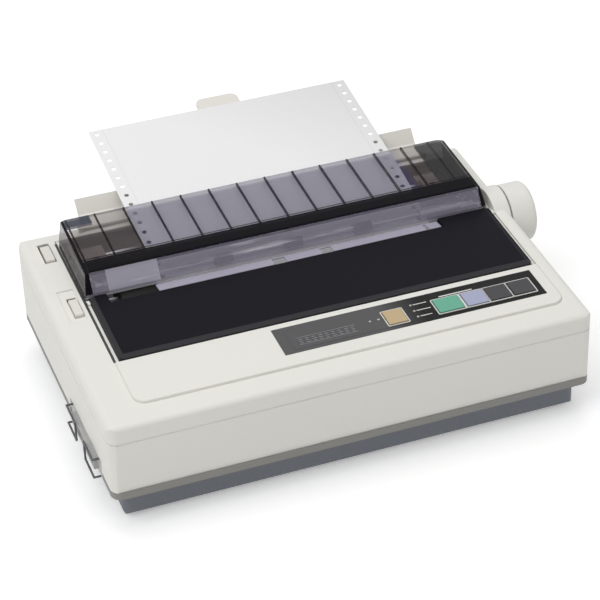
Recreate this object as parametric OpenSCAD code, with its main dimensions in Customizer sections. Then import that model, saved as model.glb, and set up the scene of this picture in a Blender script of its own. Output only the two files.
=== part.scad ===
// Dot matrix printer with a hinged lid, a hinged rear cover and a sheet guide.
// Lengths are in millimetres. Places are measured from the left side (x),
// from the front face (y) and from the table (z), and placed() then centres the whole.

/* [Housing] */
// Width of the housing
housing_w = 405; // [400:1:425]
// Depth of the housing
housing_d = 275; // [274:1:300]
// Height of the top at the front
front_h = 97; // [96:0.5:104]
// Rise of the top from front to back
top_rise = 6; // [4:0.5:8]
// Height of the seam between base and housing
seam_h = 35; // [34:0.5:37]
// Wall of the housing
wall = 2.5; // [2:0.1:3]
// Radius of the upright corners
corner_r = 9; // [8:0.5:12]
// Radius of the top side edges
edge_r = 6; // [4:0.5:7]
// Height of the shadow groove round the housing
groove_h = 81; // [70:1:86]

/* [Base] */
// Step in from the housing's outline to the tub below it
base_inset = 9.5; // [8:0.5:11]
// Height of the ledge strip under the seam
ledge_h = 6.4; // [5:0.2:7]
// Radius of the tub's lower edges
base_edge_r = 7; // [5:0.5:8]
// Height of the feet below the tub
foot_h = 2.5; // [2:0.1:3]
// Radius of a foot
foot_r = 8; // [6:0.5:9]
// Distance from a foot's centre to the tub's sides
foot_inset = 16; // [15:0.5:18]

/* [Covers] */
// Width of the strip left of the covers
strip_left = 30.2; // [29:0.2:31]
// Width of the strip right of the covers
strip_right = 13.2; // [13:0.2:14]
// Width of the strip behind the covers
strip_back = 13; // [12:0.2:13.6]
// Depth of the covers' opening
bay_depth = 183; // [182:0.2:183.6]
// Gap between the lid and the strips
lid_gap = 3.8; // [3:0.1:4]
// Thickness of the lid and cover walls
cover_wall = 2.2; // [1.8:0.1:2.4]
// Height of the lid's face over the housing's top
lid_raise = 3.5; // [3:0.1:3.8]
// Distance from the clear riser's foot to the back of the covers' opening
cover_run = 91.4; // [91:0.1:91.6]
// Gap between the lid and the clear riser
riser_gap = 2.2; // [2:0.1:2.6]
// Depth of the riser from its foot to the ridge
ridge_run = 9.4; // [8.4:0.5:10.4]
// Height of the cover's ridge
ridge_h = 119; // [118:0.5:122]
// Depth of the thicker bar along the front of the window
bar_depth = 16; // [12:0.5:18]
// Height of the cover's back edge
cover_back_h = 123; // [122.6:0.2:126]
// Gap between the cover's back edge and the strip behind it
cover_back_gap = 2; // [1.5:0.1:3]
// Number of ribs on the window
rib_count = 12; // [6:1:12]
// Spacing of the ribs
rib_pitch = 25.3; // [24:0.1:25.5]
// Height of the raised deck in front of the lid
deck_raise = 1.8; // [1.5:0.1:2.2]
// Width of the strip in front of the deck
strip_front = 22.3; // [20:0.1:25]
// Width of the tear strip across the paper
tear_depth = 12; // [10:0.5:13]

/* [Paper path] */
// Height of the platen's axis
platen_h = 82; // [81:0.5:82.5]
// Distance from the riser's foot to the platen's axis
platen_run = 13.4; // [13:0.1:13.8]
// Radius of the platen's roller
platen_r = 18; // [17:0.5:18]
// Radius of the platen's shaft
shaft_r = 5; // [4:0.1:5.2]
// Radius of the knob
knob_r = 26.4; // [24:0.2:27]
// Length of the knob
knob_len = 23; // [20:0.5:25]
// Gap between the housing and the knob
knob_gap = 3; // [2:0.1:4]
// Width of the paper with its feed strips
paper_w = 241.3; // [215:0.1:241.3]
// Thickness of the paper
paper_t = 0.3; // [0.2:0.05:0.4]
// Radius of a feed hole
hole_r = 2; // [1.5:0.1:2.2]
// Distance from the paper's edge to its feed holes
hole_inset = 6.35; // [6:0.05:7]
// Width of the sheet guide
guide_w = 310; // [300:1:314]
// Width of the centre support on the sheet guide
support_w = 39; // [34:1:46]

/* [Controls] */
// Distance from the panel to the housing's right side
panel_right = 24; // [22:0.5:26]
// Distance from the panel's front edge to the lid's opening
panel_run = 41.5; // [40:0.5:42]
// Width of the control panel
panel_w = 224.5; // [222:0.5:228]
// Depth of the control panel
panel_d = 34.8; // [33:0.2:36]
// Depth of a button, front to back
button_d = 17.8; // [15:0.2:19]
// Travel of a button
button_travel = 1.2; // [0.8:0.1:1.4]

/* [Running fits] */
// Radial clearance of a shaft in its bore
run_gap = 0.06; // [0.04:0.01:0.1]
// Clearance between parts that slide or swing past each other
slide_gap = 0.3; // [0.25:0.05:0.35]

/* [Hidden] */

$fn = 64;
eps = 0.01;

// Colours of the materials
off_white = [0.90, 0.89, 0.86];
base_grey = [0.44, 0.46, 0.49];
smoke = [0.17, 0.16, 0.20];
clear_smoke = [0.55, 0.53, 0.60];
black = [0.08, 0.08, 0.09];
steel = [0.62, 0.63, 0.65];
white_plastic = [0.86, 0.86, 0.84];
board_green = [0.12, 0.32, 0.22];

// Standard pitch of the feed holes
hole_pitch = 12.7;

// Gear train: pitch diameter for each tooth, and the teeth of its gears
gear_module = 0.8;
platen_teeth = 30;
tractor_teeth = 24;
reduction_teeth = 48;
pinion_teeth = 12;

// Places that follow from the driving sizes
slope = atan(top_rise / housing_d);
bay_l = strip_left;
bay_r = housing_w - strip_right;
bay_back = housing_d - strip_back;
bay_front = bay_back - bay_depth;
riser_front = bay_back - cover_run;
lid_back = riser_front - riser_gap;
ridge_y = riser_front + ridge_run;
cover_back = bay_back - cover_back_gap;
platen_y = riser_front + platen_run;
panel_x = housing_w - panel_right - panel_w;
panel_y = bay_front - panel_run;
deck_front = min(strip_front, panel_y - 1.5);
lid_l = bay_l + lid_gap;
lid_r = bay_r - lid_gap;
lid_front = bay_front + 1;
cover_foot_l = bay_l + 0.8;
cover_foot_r = lid_r - 1;
cover_l = cover_foot_l + 5;
cover_r = cover_foot_r - 3;
mid_bay = (bay_l + bay_r) / 2;
paper_x = mid_bay + 3.5;
knob_out = housing_w + knob_gap + knob_len;
bail_reach = 6;
support_end = housing_d + 114;
mid_x = (knob_out - bail_reach) / 2;
mid_y = support_end / 2;
tub_bottom = foot_h;
ledge_z = seam_h - ledge_h;
floor_z = tub_bottom + wall;

// The side frames carry the mechanism
frame_t = 1.6;
frame_l = 40;
frame_r = housing_w - 25;

// Every piece is placed through this, so that the origin lies under the middle
module placed() {
    translate([-mid_x, -mid_y, 0]) children();
}

// Frame of the housing's sloping top, with its height measured from that top
module on_top() {
    translate([0, 0, front_h]) rotate([slope, 0, 0]) children();
}

// Height of the housing's top at a distance from the front
function top_at(y) = front_h + y * tan(slope);

// Extrudes a drawing of y and z along x
module along_x(x, len) {
    translate([x, 0, 0]) rotate([90, 0, 90]) linear_extrude(len) children();
}

// Extrudes a drawing of x and z along y
module along_y(y, len) {
    translate([0, y + len, 0]) rotate([90, 0, 0]) linear_extrude(len) children();
}

// Bar along x round a point in y and z
module rod_x(x, len, y, z, r) {
    along_x(x, len) translate([y, z]) circle(r);
}

// Bar along y round a point in x and z
module rod_y(y, len, x, z, r) {
    along_y(y, len) translate([x, z]) circle(r);
}

// Box given by its two corners
module block(a, b) {
    translate(a) cube(b - a);
}

// Rectangle with four round corners
module round_rect(w, d, r) {
    translate([r, 0]) square([w - 2 * r, d]);
    translate([0, r]) square([w, d - 2 * r]);
    for (x = [r, w - r], y = [r, d - r]) {
        translate([x, y]) circle(r);
    }
}

// Rectangle with round upper corners
module round_top(w, h, r) {
    square([w, h - r]);
    translate([r, 0]) square([w - 2 * r, h]);
    for (x = [r, w - r]) {
        translate([x, h - r]) circle(r);
    }
}

// Closed housing shape, drawn in by an inset
module housing_form(inset) {
    w = housing_w - 2 * inset;
    d = housing_d - 2 * inset;
    depth_below = 110;
    intersection() {
        translate([inset, inset, seam_h - (inset > 0 ? 1 : 0)])
            linear_extrude(front_h + top_rise + 10) round_rect(w, d, corner_r - inset);
        on_top() translate([inset, 0, -depth_below])
            along_y(-10, housing_d + 20) round_top(w, depth_below - inset, edge_r - inset / 2);
        on_top() translate([0, inset, -depth_below])
            along_x(-10, housing_w + 20) round_top(d + 0.1, depth_below - inset, 4 - inset / 2);
    }
}

// Plan outline of the housing, drawn in by an inset
module plan(inset) {
    translate([inset, inset]) round_rect(housing_w - 2 * inset, housing_d - 2 * inset, corner_r - inset);
}

// Hinges: their distance from the front face, and their height
pin_r = 1.2;
lid_hinge_y = lid_back - 4.4;
lid_hinge_z = -0.7;
cover_hinge_y = riser_front + 5.4;
cover_hinge_z = 0.2;
// Reach of the covers' lower edges round their hinges
lid_swing = lid_back - lid_hinge_y + 1.2;
cover_swing = cover_hinge_y - riser_front + 1.3;
bearing_front = 0.9;
bearing_gap = 1.2;
guide_x = mid_bay + 1.5;
support_x = paper_x + 2;
guide_hinge_y = bay_back + 7;
guide_hinge_z = top_at(bay_back + 7) + 2.1;

// Levers stand in slots of the left strip
lever_x = 21;
release_y = platen_y - 22;
gap_y = platen_y + 61;
lever_pad = 23;
lever_travel = 5;
lever_w = 6.8;
connector_y = 76;
connector_half = 45;
connector_z = 35;
inlet_x = 64;
inlet_z = 53;
switch_y = bay_front - 19;
switch_z = 64;
slot_z = 58;
collar_r = knob_r + 0.8;
collar_l = bay_r - 1.5;
// The collar stands a little proud of the housing's side
collar_end = housing_w + 1;

// Stiff posts under the top carry the panel's circuit board
post_front = max(wall + 3, panel_y - 7.5);
post_places = [for (x = [1.5, 111.5, panel_w - 7], y = [post_front, panel_y + 34.5]) [panel_x + x, y]];
board_gap = 12.4;

module upper_housing() {
    color(off_white) placed() {
        difference() {
            union() {
                difference() {
                    union() {
                        housing_form(0);
                        rod_x(collar_l, collar_end - collar_l, platen_y, platen_h, collar_r);
                    }
                    difference() {
                        union() {
                            housing_form(wall);
                            rod_x(collar_l + wall, collar_end - collar_l - 2 * wall, platen_y, platen_h,
                                collar_r - wall);
                        }
                        on_top() block([bay_r, bay_front, -60], [bay_r + wall, bay_back, 60]);
                    }
                }
                bay_rim();
            }
            on_top() block([bay_l, bay_front, -wall - eps], [bay_r, bay_back, 20]);
            housing_cuts();
        }
        bay_ridges();
        hinge_blocks();
        case_posts();
        for (p = post_places) {
            on_top() translate([p[0], p[1], -board_gap]) cylinder(h = board_gap - wall + 0.5, r = 2.5);
        }
    }
}

// Light ridges beside the covers, which the covers' feet rest over
module bay_ridges() {
    on_top() difference() {
        union() {
            block([bay_l + 1, bay_front, -wall - 0.5], [lid_l - 0.4, bay_back, -0.4]);
            block([lid_r + 0.4, bay_front, -wall - 0.5], [bay_r - 1, bay_back, -0.4]);
        }
        rod_x(0, housing_w, lid_hinge_y, lid_hinge_z, pin_r + run_gap);
        rod_x(0, housing_w, cover_hinge_y, cover_hinge_z, cover_swing);
    }
}

// Rim that the covers rest on, notched where their lower edges swing down at the hinges
module bay_rim() {
    into = 0.4;
    on_top() {
        difference() {
            for (side = [0, 1]) {
                x0 = side == 0 ? bay_l - wall : lid_r - 1;
                x1 = side == 0 ? lid_l + 1 : bay_r + wall;
                block([x0, bay_front - wall, -wall - 2], [x1, bay_back + 1, -wall + into]);
            }
            intersection() {
                rod_x(lid_l - 0.4, lid_r - lid_l + 0.8, lid_hinge_y, lid_hinge_z, lid_swing);
                block([0, lid_hinge_y + 1.6, -20], [housing_w, housing_d, 20]);
            }
            intersection() {
                rod_x(cover_foot_l - 0.4, cover_foot_r - cover_foot_l + 0.8, cover_hinge_y,
                    cover_hinge_z, cover_swing);
                block([0, 0, -20], [housing_w, cover_hinge_y - bearing_front, 20]);
            }
        }
        block([bay_l - wall, bay_front - wall, -wall - 2],
              [bay_r + wall, bay_front + 4, -wall + into]);
    }
}

// Posts inside the side walls that take the screws of the base
module case_posts() {
    for (p = case_places) {
        difference() {
            union() {
                translate([p[0], p[1], seam_h]) cylinder(h = 12, r = 3.4);
                near = p[0] < housing_w / 2;
                block([near ? wall - 0.5 : p[0], p[1] - 3.4, seam_h],
                      [near ? p[0] : housing_w - wall + 0.5, p[1] + 3.4, seam_h + 12]);
            }
            translate([p[0], p[1], seam_h - 1]) cylinder(h = 11, r = screw_r + 0.02);
        }
    }
}

// Bearings of the lid, the rear cover and the sheet guide
module hinge_blocks() {
    on_top() {
        difference() {
            for (x = [bay_l + 1, lid_r + 0.4]) {
                block([x, lid_hinge_y - 2.5, -wall - 0.5], [x + lid_gap - 1.4, lid_hinge_y + 2.5,
                    lid_hinge_z + 2]);
            }
            rod_x(0, housing_w, lid_hinge_y, lid_hinge_z, pin_r + run_gap);
        }
        difference() {
            union() {
                block([bay_l, cover_hinge_y - bearing_front, -wall - 2],
                      [cover_foot_l + cover_wall + 3.4,
                    cover_hinge_y + 2.6, -wall]);
                block([cover_foot_l + cover_wall + bearing_gap, cover_hinge_y - 2, -wall - 1],
                      [cover_foot_l + cover_wall + 3.4, cover_hinge_y + 2.6, cover_hinge_z + 2]);
                block([cover_foot_r - cover_wall - 3.4, cover_hinge_y - bearing_front, -wall - 2], [bay_r,
                    cover_hinge_y + 2.6, -wall]);
                block([cover_foot_r - cover_wall - 3.4, cover_hinge_y - 2, -wall - 1],
                      [cover_foot_r - cover_wall - bearing_gap, cover_hinge_y + 2.6, cover_hinge_z + 2]);
            }
            rod_x(0, housing_w, cover_hinge_y, cover_hinge_z, pin_r + run_gap);
        }
    }
    for (side = [-1, 1]) {
        x = guide_x + side * (guide_w / 2 + 0.4) - (side < 0 ? 4 : 0);
        difference() {
            block([x, guide_hinge_y - 2.5, top_at(guide_hinge_y) - 1.5],
                  [x + 4, guide_hinge_y + 2.5, guide_hinge_z + 2.2]);
            rod_x(x - 5, 14, guide_hinge_y, guide_hinge_z, pin_r + run_gap);
        }
    }
}

// Openings of the housing: lever slots, button window, connector, paper slot, inlet and switch
module housing_cuts() {
    on_top() {
        // Slots of the two levers, with shallow finger hollows round them
        block([lever_x - lever_w / 2 - 0.5, release_y - lever_pad / 2 - 0.6, -20],
              [lever_x + lever_w / 2 + 0.5, release_y + lever_pad / 2 + lever_travel, 5]);
        block([lever_x - 9, release_y - lever_pad / 2 - 6, -1],
              [lever_x + lever_w / 2 + 1.2, release_y + lever_pad / 2 + 16, 5]);
        block([lever_x - 6.5, gap_y - lever_pad / 2 - 0.8, -20],
              [lever_x + 3.5, gap_y + lever_pad / 2 + lever_travel, 5]);
        // Window under the buttons and lamps
        block([panel_x + 8, panel_y + 3, -20], [panel_x + panel_w - 3, panel_y + panel_d - 4, 5]);
    }
    // Connector in the left side, down to the seam
    block([-5, connector_y - connector_half - 0.6, 20], [wall + 5, connector_y + connector_half + 0.6,
        ear_high + 2 * bail_wire_r + 0.9]);
    // Way in for the paper at the back
    block([paper_x - paper_w / 2 - 12, housing_d - 10, slot_z], [paper_x + paper_w / 2 + 12,
        housing_d + 10, slot_z + 14]);
    // Power inlet
    block([inlet_x - 14, housing_d - 10, inlet_z - 10.5],
          [inlet_x + 14, housing_d + 10, inlet_z + 10.5]);
    // Power switch
    block([housing_w - 10, switch_y - 7, switch_z - 11], [housing_w + 10, switch_y + 7, switch_z + 11]);
    // Way through for the platen's shaft
    rod_x(collar_l - 1, collar_end - collar_l + 2, platen_y, platen_h, shaft_r + 2);
    // Shadow groove round the housing
    translate([0, 0, groove_h]) linear_extrude(0.9) difference() {
        translate([-5, -5]) square([housing_w + 10, housing_d + 10]);
        plan(0.6);
    }
}

// Tub shape with round lower edges, drawn in by an inset
module tub_form(inset) {
    x0 = base_inset + inset;
    w = housing_w - 2 * base_inset - 2 * inset;
    d = housing_d - 2 * base_inset - 2 * inset;
    h = ledge_z + 10;
    intersection() {
        translate([x0, x0, 0]) linear_extrude(h) round_rect(w, d, corner_r - 2);
        translate([x0, 0, tub_bottom + inset + h]) mirror([0, 0, 1])
            along_y(0, housing_d) round_top(w, h, base_edge_r - inset / 2);
        translate([0, x0, tub_bottom + inset + h]) mirror([0, 0, 1])
            along_x(0, housing_w) round_top(d, h, base_edge_r - inset / 2);
    }
}

// Main board at the left, power supply at the right, both in front of the side frames
frame_front = platen_y - 86;
frame_back = platen_y + 72;
board_l = base_inset + 4;
board_r = board_l + 176.5;
board_front = base_inset + wall + 10;
board_back = frame_front;
supply_r = housing_w - 21;
supply_l = supply_r - 116;
supply_front = base_inset + wall + 8;
supply_back = frame_front - 6;
board_z = connector_z - 7.6;
board_t = 1.6;
board_posts = [[board_l + 8, board_front + 6], [board_r - 6, board_front + 6],
    [board_l + 8, board_back - 5], [board_r - 6, board_back - 5]];
supply_z = floor_z + 6;
supply_posts = [[supply_l + 6, supply_front + 6], [supply_r - 6, supply_front + 6],
    [supply_l + 6, supply_back - 6], [supply_r - 6, supply_back - 6]];
// Feet of the side frames, screwed to bosses of the base
frame_foot_z = floor_z + 4;
frame_feet = [[frame_l - 6, frame_front + 12], [frame_l - 6, frame_back - 12],
    [frame_r + 6, frame_front + 12], [frame_r + 6, frame_back - 12]];
case_places = [[6, 24], [housing_w - 6, 24], [6, housing_d - 30], [housing_w - 6, housing_d - 30]];
screw_r = 1.5;

module base_pan() {
    color(base_grey) placed() {
        difference() {
            union() {
                tub_form(0);
                translate([0, 0, ledge_z]) linear_extrude(ledge_h) plan(0);
            }
            tub_form(wall);
            translate([base_inset + wall, base_inset + wall, ledge_z - 1])
                linear_extrude(ledge_h + 2) round_rect(housing_w - 2 * (base_inset + wall),
                    housing_d - 2 * (base_inset + wall), corner_r - 2);
            // Recess of the connector in the left side
            block([-5, connector_y - connector_half - 0.6, connector_z - 8.6],
                [base_inset + wall + 4, connector_y + connector_half + 0.6, seam_h + 5]);
            for (p = case_places) {
                translate([p[0], p[1], ledge_z - 1]) cylinder(h = ledge_h + 2, r = screw_r + 0.2);
            }
        }
        for (p = board_posts) {
            translate([p[0], p[1], floor_z - 1]) cylinder(h = board_z - floor_z + 1, r = 3);
        }
        for (p = supply_posts) {
            translate([p[0], p[1], floor_z - 1]) cylinder(h = supply_z - floor_z + 1, r = 3);
        }
        for (p = frame_feet) {
            translate([p[0], p[1], floor_z - 1]) cylinder(h = frame_foot_z - floor_z + 1, r = 6);
        }
    }
}

feet_places = [[base_inset + foot_inset, base_inset + foot_inset],
    [housing_w - base_inset - foot_inset, base_inset + foot_inset],
    [base_inset + foot_inset, housing_d - base_inset - foot_inset],
    [housing_w - base_inset - foot_inset, housing_d - base_inset - foot_inset]];

module rubber_feet() {
    color(black) placed() for (p = feet_places) {
        translate([p[0], p[1], 0]) rotate_extrude() {
            square([foot_r - 1, foot_h]);
            translate([0, 1]) square([foot_r, foot_h - 1]);
            translate([foot_r - 1, 1]) circle(1, $fn = 32);
        }
    }
}

panel_t = 1;

module deck_outline(inset) {
    x0 = bay_l - 0.7 + inset;
    x1 = bay_r - 0.8 - inset;
    y0 = deck_front + inset;
    y1 = bay_front - inset;
    r = 11 - inset;
    translate([x0, y0]) {
        translate([r, 0]) square([x1 - x0 - 2 * r, y1 - y0]);
        translate([0, r]) square([x1 - x0, y1 - y0 - r]);
        translate([r, r]) circle(r);
        translate([x1 - x0 - r, r]) circle(r);
    }
}

// Buttons: distance of the left edge from the panel's right edge, and width
button_sizes = [[134.5, 16], [91, 21.5], [66.5, 18.5], [46.5, 18.5], [25.5, 18.5]];
buttons = [for (b = button_sizes) [panel_w - b[0], b[1]]];
button_y = panel_y + 5.7;
button_rise = 1.5;
lamp_steps = [[147.2, 16.8], [139.8, 16.8], [109, 8.7], [109, 16.7], [109, 24.9]];
lamp_places = [for (p = lamp_steps) [panel_w - p[0], p[1]]];

module control_deck() {
    color(off_white) placed() on_top() difference() {
        union() {
            linear_extrude(deck_raise - 0.6) deck_outline(0);
            linear_extrude(deck_raise) deck_outline(0.6);
        }
        block([panel_x - 0.2, panel_y - 0.2, deck_raise - panel_t],
              [panel_x + panel_w + 0.2, panel_y + panel_d + 0.2, 5]);
        button_holes(-1, 5);
        lamp_holes(-1, 5);
    }
}

module button_holes(z0, z1) {
    for (b = buttons) {
        block([panel_x + b[0] - slide_gap, button_y - slide_gap, z0],
              [panel_x + b[0] + b[1] + slide_gap, button_y + button_d + slide_gap, z1]);
    }
}

module lamp_holes(z0, z1) {
    for (p = lamp_places) {
        translate([panel_x + p[0], panel_y + p[1], z0]) cylinder(h = z1 - z0, r = 1.3);
    }
}

// Overlay of the panel, with raised frames round the buttons and a plain grey field
module control_panel() {
    color(black) placed() on_top() difference() {
        union() {
            block([panel_x, panel_y, deck_raise - panel_t], [panel_x + panel_w, panel_y + panel_d,
                deck_raise + 0.2]);
            block([panel_x + 8.5, panel_y + 3.5, deck_raise], [panel_x + panel_w - 115, panel_y + 28.5,
                deck_raise + 0.4]);
            for (b = buttons) {
                block([panel_x + b[0] - 1.1, button_y - 1.1, deck_raise],
                      [panel_x + b[0] + b[1] + 1.1, button_y + button_d + 1.1, deck_raise + 0.7]);
            }
        }
        button_holes(-1, 5);
        lamp_holes(-1, 5);
    }
}

// Key cap with a stem down to its switch on the board
module button(index, tint) {
    b = buttons[index];
    x = panel_x + b[0];
    top = deck_raise + button_rise;
    color(tint) placed() on_top() {
        block([x, button_y, -2], [x + b[1], button_y + button_d, top]);
        translate([x + b[1] / 2, button_y + button_d / 2, switch_top - board_gap])
            cylinder(h = board_gap - switch_top - 1, r = 2.5);
    }
}
switch_top = 5.1;

module button_one() { button(0, [0.75, 0.66, 0.5]); }
module button_two() { button(1, [0.3, 0.68, 0.54]); }
module button_three() { button(2, [0.65, 0.68, 0.82]); }
module button_four() { button(3, black); }
module button_five() { button(4, black); }

module indicator_lights() {
    color([0.35, 0.6, 0.35]) placed() on_top() for (p = lamp_places) {
        translate([panel_x + p[0], panel_y + p[1], -board_gap]) {
            cylinder(h = board_gap + deck_raise + 0.4, r = 1.1);
            cylinder(h = 3, r = 1.6);
        }
    }
}

module panel_board() {
    color(board_green) placed() on_top() difference() {
        union() {
            block([panel_x - 3, max(wall + 0.5, panel_y - 11), -board_gap - board_t],
                  [panel_x + panel_w - 1, panel_y + panel_d + 4, -board_gap]);
            for (b = buttons) {
                translate([panel_x + b[0] + b[1] / 2, button_y + button_d / 2, -board_gap]) {
                    translate([-3.5, -3.5, -0.1]) cube([7, 7, 3.2]);
                    cylinder(h = switch_top - button_travel - 0.15, r = 1.7);
                }
            }
        }
        for (p = post_places) {
            translate([p[0], p[1], -board_gap - 5]) cylinder(h = 10, r = 1.5);
        }
    }
}

// Lid over the print head, open below and behind, turning on two pins near its back edge
module front_lid() {
    skirt_z = -2;
    color(smoke) placed() on_top() {
        difference() {
            intersection() {
                translate([lid_l, lid_front, skirt_z]) linear_extrude(lid_raise - skirt_z)
                    lid_outline(lid_r - lid_l, lid_back - lid_front);
                along_x(lid_l - 1, lid_r - lid_l + 2) lid_edge(lid_front, lid_back + 10);
                along_y(lid_front - 1, lid_back - lid_front + 2) intersection() {
                    lid_edge(lid_l, lid_r + 10);
                    translate([lid_l + lid_r, 0]) mirror([1, 0]) lid_edge(lid_l, lid_r + 10);
                }
            }
            block([lid_l + cover_wall, lid_front + cover_wall, skirt_z - 1],
                  [lid_r - cover_wall, lid_back + 1, lid_raise - cover_wall]);
            block([lid_l - 1, lid_hinge_y, skirt_z - 1],
                  [lid_r + 1, lid_back + 1, lid_raise - cover_wall]);
            // Notch over the tear strip
            block([paper_x - strip_near - 42, platen_y - platen_r - tear_depth + 1.4, skirt_z - 1],
                  [paper_x + strip_far + 1.4, lid_back + 1, lid_raise + 1]);
        }
        for (x = [lid_l, lid_r - cover_wall]) {
            rod_x(x, cover_wall, lid_hinge_y, lid_hinge_z, 1.5);
            block([x, lid_hinge_y - 1.4, lid_hinge_z],
                  [x + cover_wall, lid_hinge_y + 1.4, lid_raise - 1]);
        }
        rod_x(lid_l - lid_gap + 1.2, lid_gap + 1, lid_hinge_y, lid_hinge_z, pin_r);
        rod_x(lid_r - 2.2, lid_gap + 1, lid_hinge_y, lid_hinge_z, pin_r);
    }
}

// Section of the lid that falls away to one edge
module lid_edge(edge, far) {
    fall = 1.3;
    width = 4.5;
    polygon([[edge - 1, -10], [edge - 1, lid_raise - fall * (1 + 1 / width)], [edge + width, lid_raise],
        [far, lid_raise], [far, -10]]);
}

// Rectangle with two round front corners
module lid_outline(w, d) {
    r = 4;
    translate([0, r]) square([w, d - r]);
    translate([r, 0]) square([w - 2 * r, d]);
    translate([r, r]) circle(r);
    translate([w - r, r]) circle(r);
}

// Side view of the rear cover, drawn in by an inset
function riser_run(z) = (z - riser_low) * (ridge_y - riser_front) / (ridge_h - riser_low);
riser_low = 104.5;
module cover_side(inset) {
    low = top_at(riser_front) - (inset > 0 ? 20 : 0);
    far = cover_back + (inset > 0 ? 5 : 0);
    tip = ridge_h - inset;
    polygon([[riser_front + inset, low], [riser_front + inset, riser_low],
        [riser_front + riser_run(tip) + inset * 1.15, tip],
        [far, tip + (cover_back_h - ridge_h) * (far - ridge_y) / (cover_back - ridge_y)],
        [far, top_at(far) - (inset > 0 ? 20 : 0)]]);
}

// Front view of the rear cover, drawn in by an inset
module cover_front(inset) {
    low = 95;
    high = cover_back_h + 2;
    foot = top_at(riser_front);
    spread = (high - foot) / (cover_back_h - foot);
    drop = (foot - low) / (cover_back_h - foot);
    left = cover_l - cover_foot_l;
    right = cover_foot_r - cover_r;
    polygon([[cover_foot_l + inset - drop * left, low], [cover_foot_l + spread * left + inset, high],
        [cover_foot_r - spread * right - inset, high], [cover_foot_r - inset + drop * right, low]]);
}

// Plan of the rear cover, with two round back corners
module cover_plan() {
    r = 11;
    w = cover_foot_r - cover_foot_l;
    d = cover_back - riser_front + 1;
    translate([cover_foot_l, riser_front - 1]) square([w, d - r]);
    translate([cover_foot_l + r, riser_front - 1]) square([w - 2 * r, d]);
    translate([cover_foot_l + r, cover_back - r]) circle(r);
    translate([cover_foot_r - r, cover_back - r]) circle(r);
}

// Cover over the paper: clear riser, ribbed window and drafted side walls in one moulding
module rear_cover() {
    color(smoke) placed() {
        difference() {
            intersection() {
                along_x(cover_foot_l, cover_foot_r - cover_foot_l) cover_side(0);
                along_y(riser_front - 1, cover_back - riser_front + 2) cover_front(0);
                translate([0, 0, 90]) linear_extrude(60) cover_plan();
            }
            intersection() {
                along_x(cover_foot_l, cover_foot_r - cover_foot_l) cover_side(cover_wall);
                along_y(riser_front - 1, cover_back - riser_front + 20) cover_front(cover_wall);
            }
        }
        window_ribs();
        on_top() for (x = [cover_foot_l + 1, cover_foot_r - cover_wall - 3]) {
            rod_x(x, cover_wall + 2, cover_hinge_y, cover_hinge_z, pin_r);
        }
    }
}

// Bar along the window's front, and the ribs behind it
module window_ribs() {
    rib_w = 1;
    rib_h = 0.7;
    start = ridge_y + bar_depth;
    rise = (cover_back_h - ridge_h) / (cover_back - ridge_y);
    bar_start = ridge_y + 1.2;
    along_x(cover_l + 3, cover_r - cover_l - 6) polygon([
        [bar_start, ridge_h + rise * (bar_start - ridge_y) - 0.3],
        [start + 0.3, ridge_h + rise * (start + 0.3 - ridge_y) - 0.3],
        [start + 0.3, ridge_h + rise * (start + 0.3 - ridge_y) + rib_h],
        [bar_start + 1, ridge_h + rise * (bar_start + 1 - ridge_y) + rib_h]]);
    last = floor((cover_r - cover_l - 60 + rib_w) / rib_pitch);
    for (i = [0 : min(last, rib_count - 1)]) {
        x = cover_l + 30 + i * rib_pitch - rib_w / 2;
        along_x(x, rib_w) polygon([
            [start, ridge_h + rise * (start - ridge_y) - 0.3],
            [cover_back - 0.5, cover_back_h - 0.5 * rise - 0.3],
            [cover_back - 0.5, cover_back_h - 0.5 * rise + rib_h],
            [start, ridge_h + rise * (start - ridge_y) + rib_h]]);
    }
}

// Clear strip in front of the platen, with gaps between its tabs, seen through the lid's notch
strip_h = 101;
// Gaps between the strip's tabs: distance of the left side from the paper's middle, and width
tab_gaps = [[-23.8, 10.8], [18.5, 9.6], [111.5, 3]];
// Reach of the tabs to the left and right of the paper's middle, and height of the rail below them
strip_near = 124;
strip_far = 125;
rail_h = 97;

module tear_strip() {
    back = platen_y - platen_r + 2.6;
    front = back - tear_depth;
    inner_l = frame_l + frame_t + slide_gap;
    inner_r = frame_r - frame_t - slide_gap;
    color(clear_smoke) placed() difference() {
        union() {
            along_x(paper_x - strip_near, strip_near + strip_far)
                polygon([[front, strip_h + 1.4], [back, strip_h - 0.4], [back, strip_h + 0.6],
                    [front, strip_h + 2.4]]);
            block([paper_x - strip_near, front, rail_h], [paper_x + strip_far, front + 1.2,
                strip_h + 2]);
            block([inner_l, front, rail_h], [inner_r, front + 1.2, rail_h + 1.6]);
            for (x = [inner_l, inner_r - 8]) {
                block([x, front, rail_h - 8], [x + 8, front + 1.2, rail_h + 1]);
            }
        }
        for (g = tab_gaps) {
            block([paper_x + g[0], front - 1, rail_h + 1.6],
                  [paper_x + g[0] + g[1], back - 2, strip_h + 5]);
        }
    }
}

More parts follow.
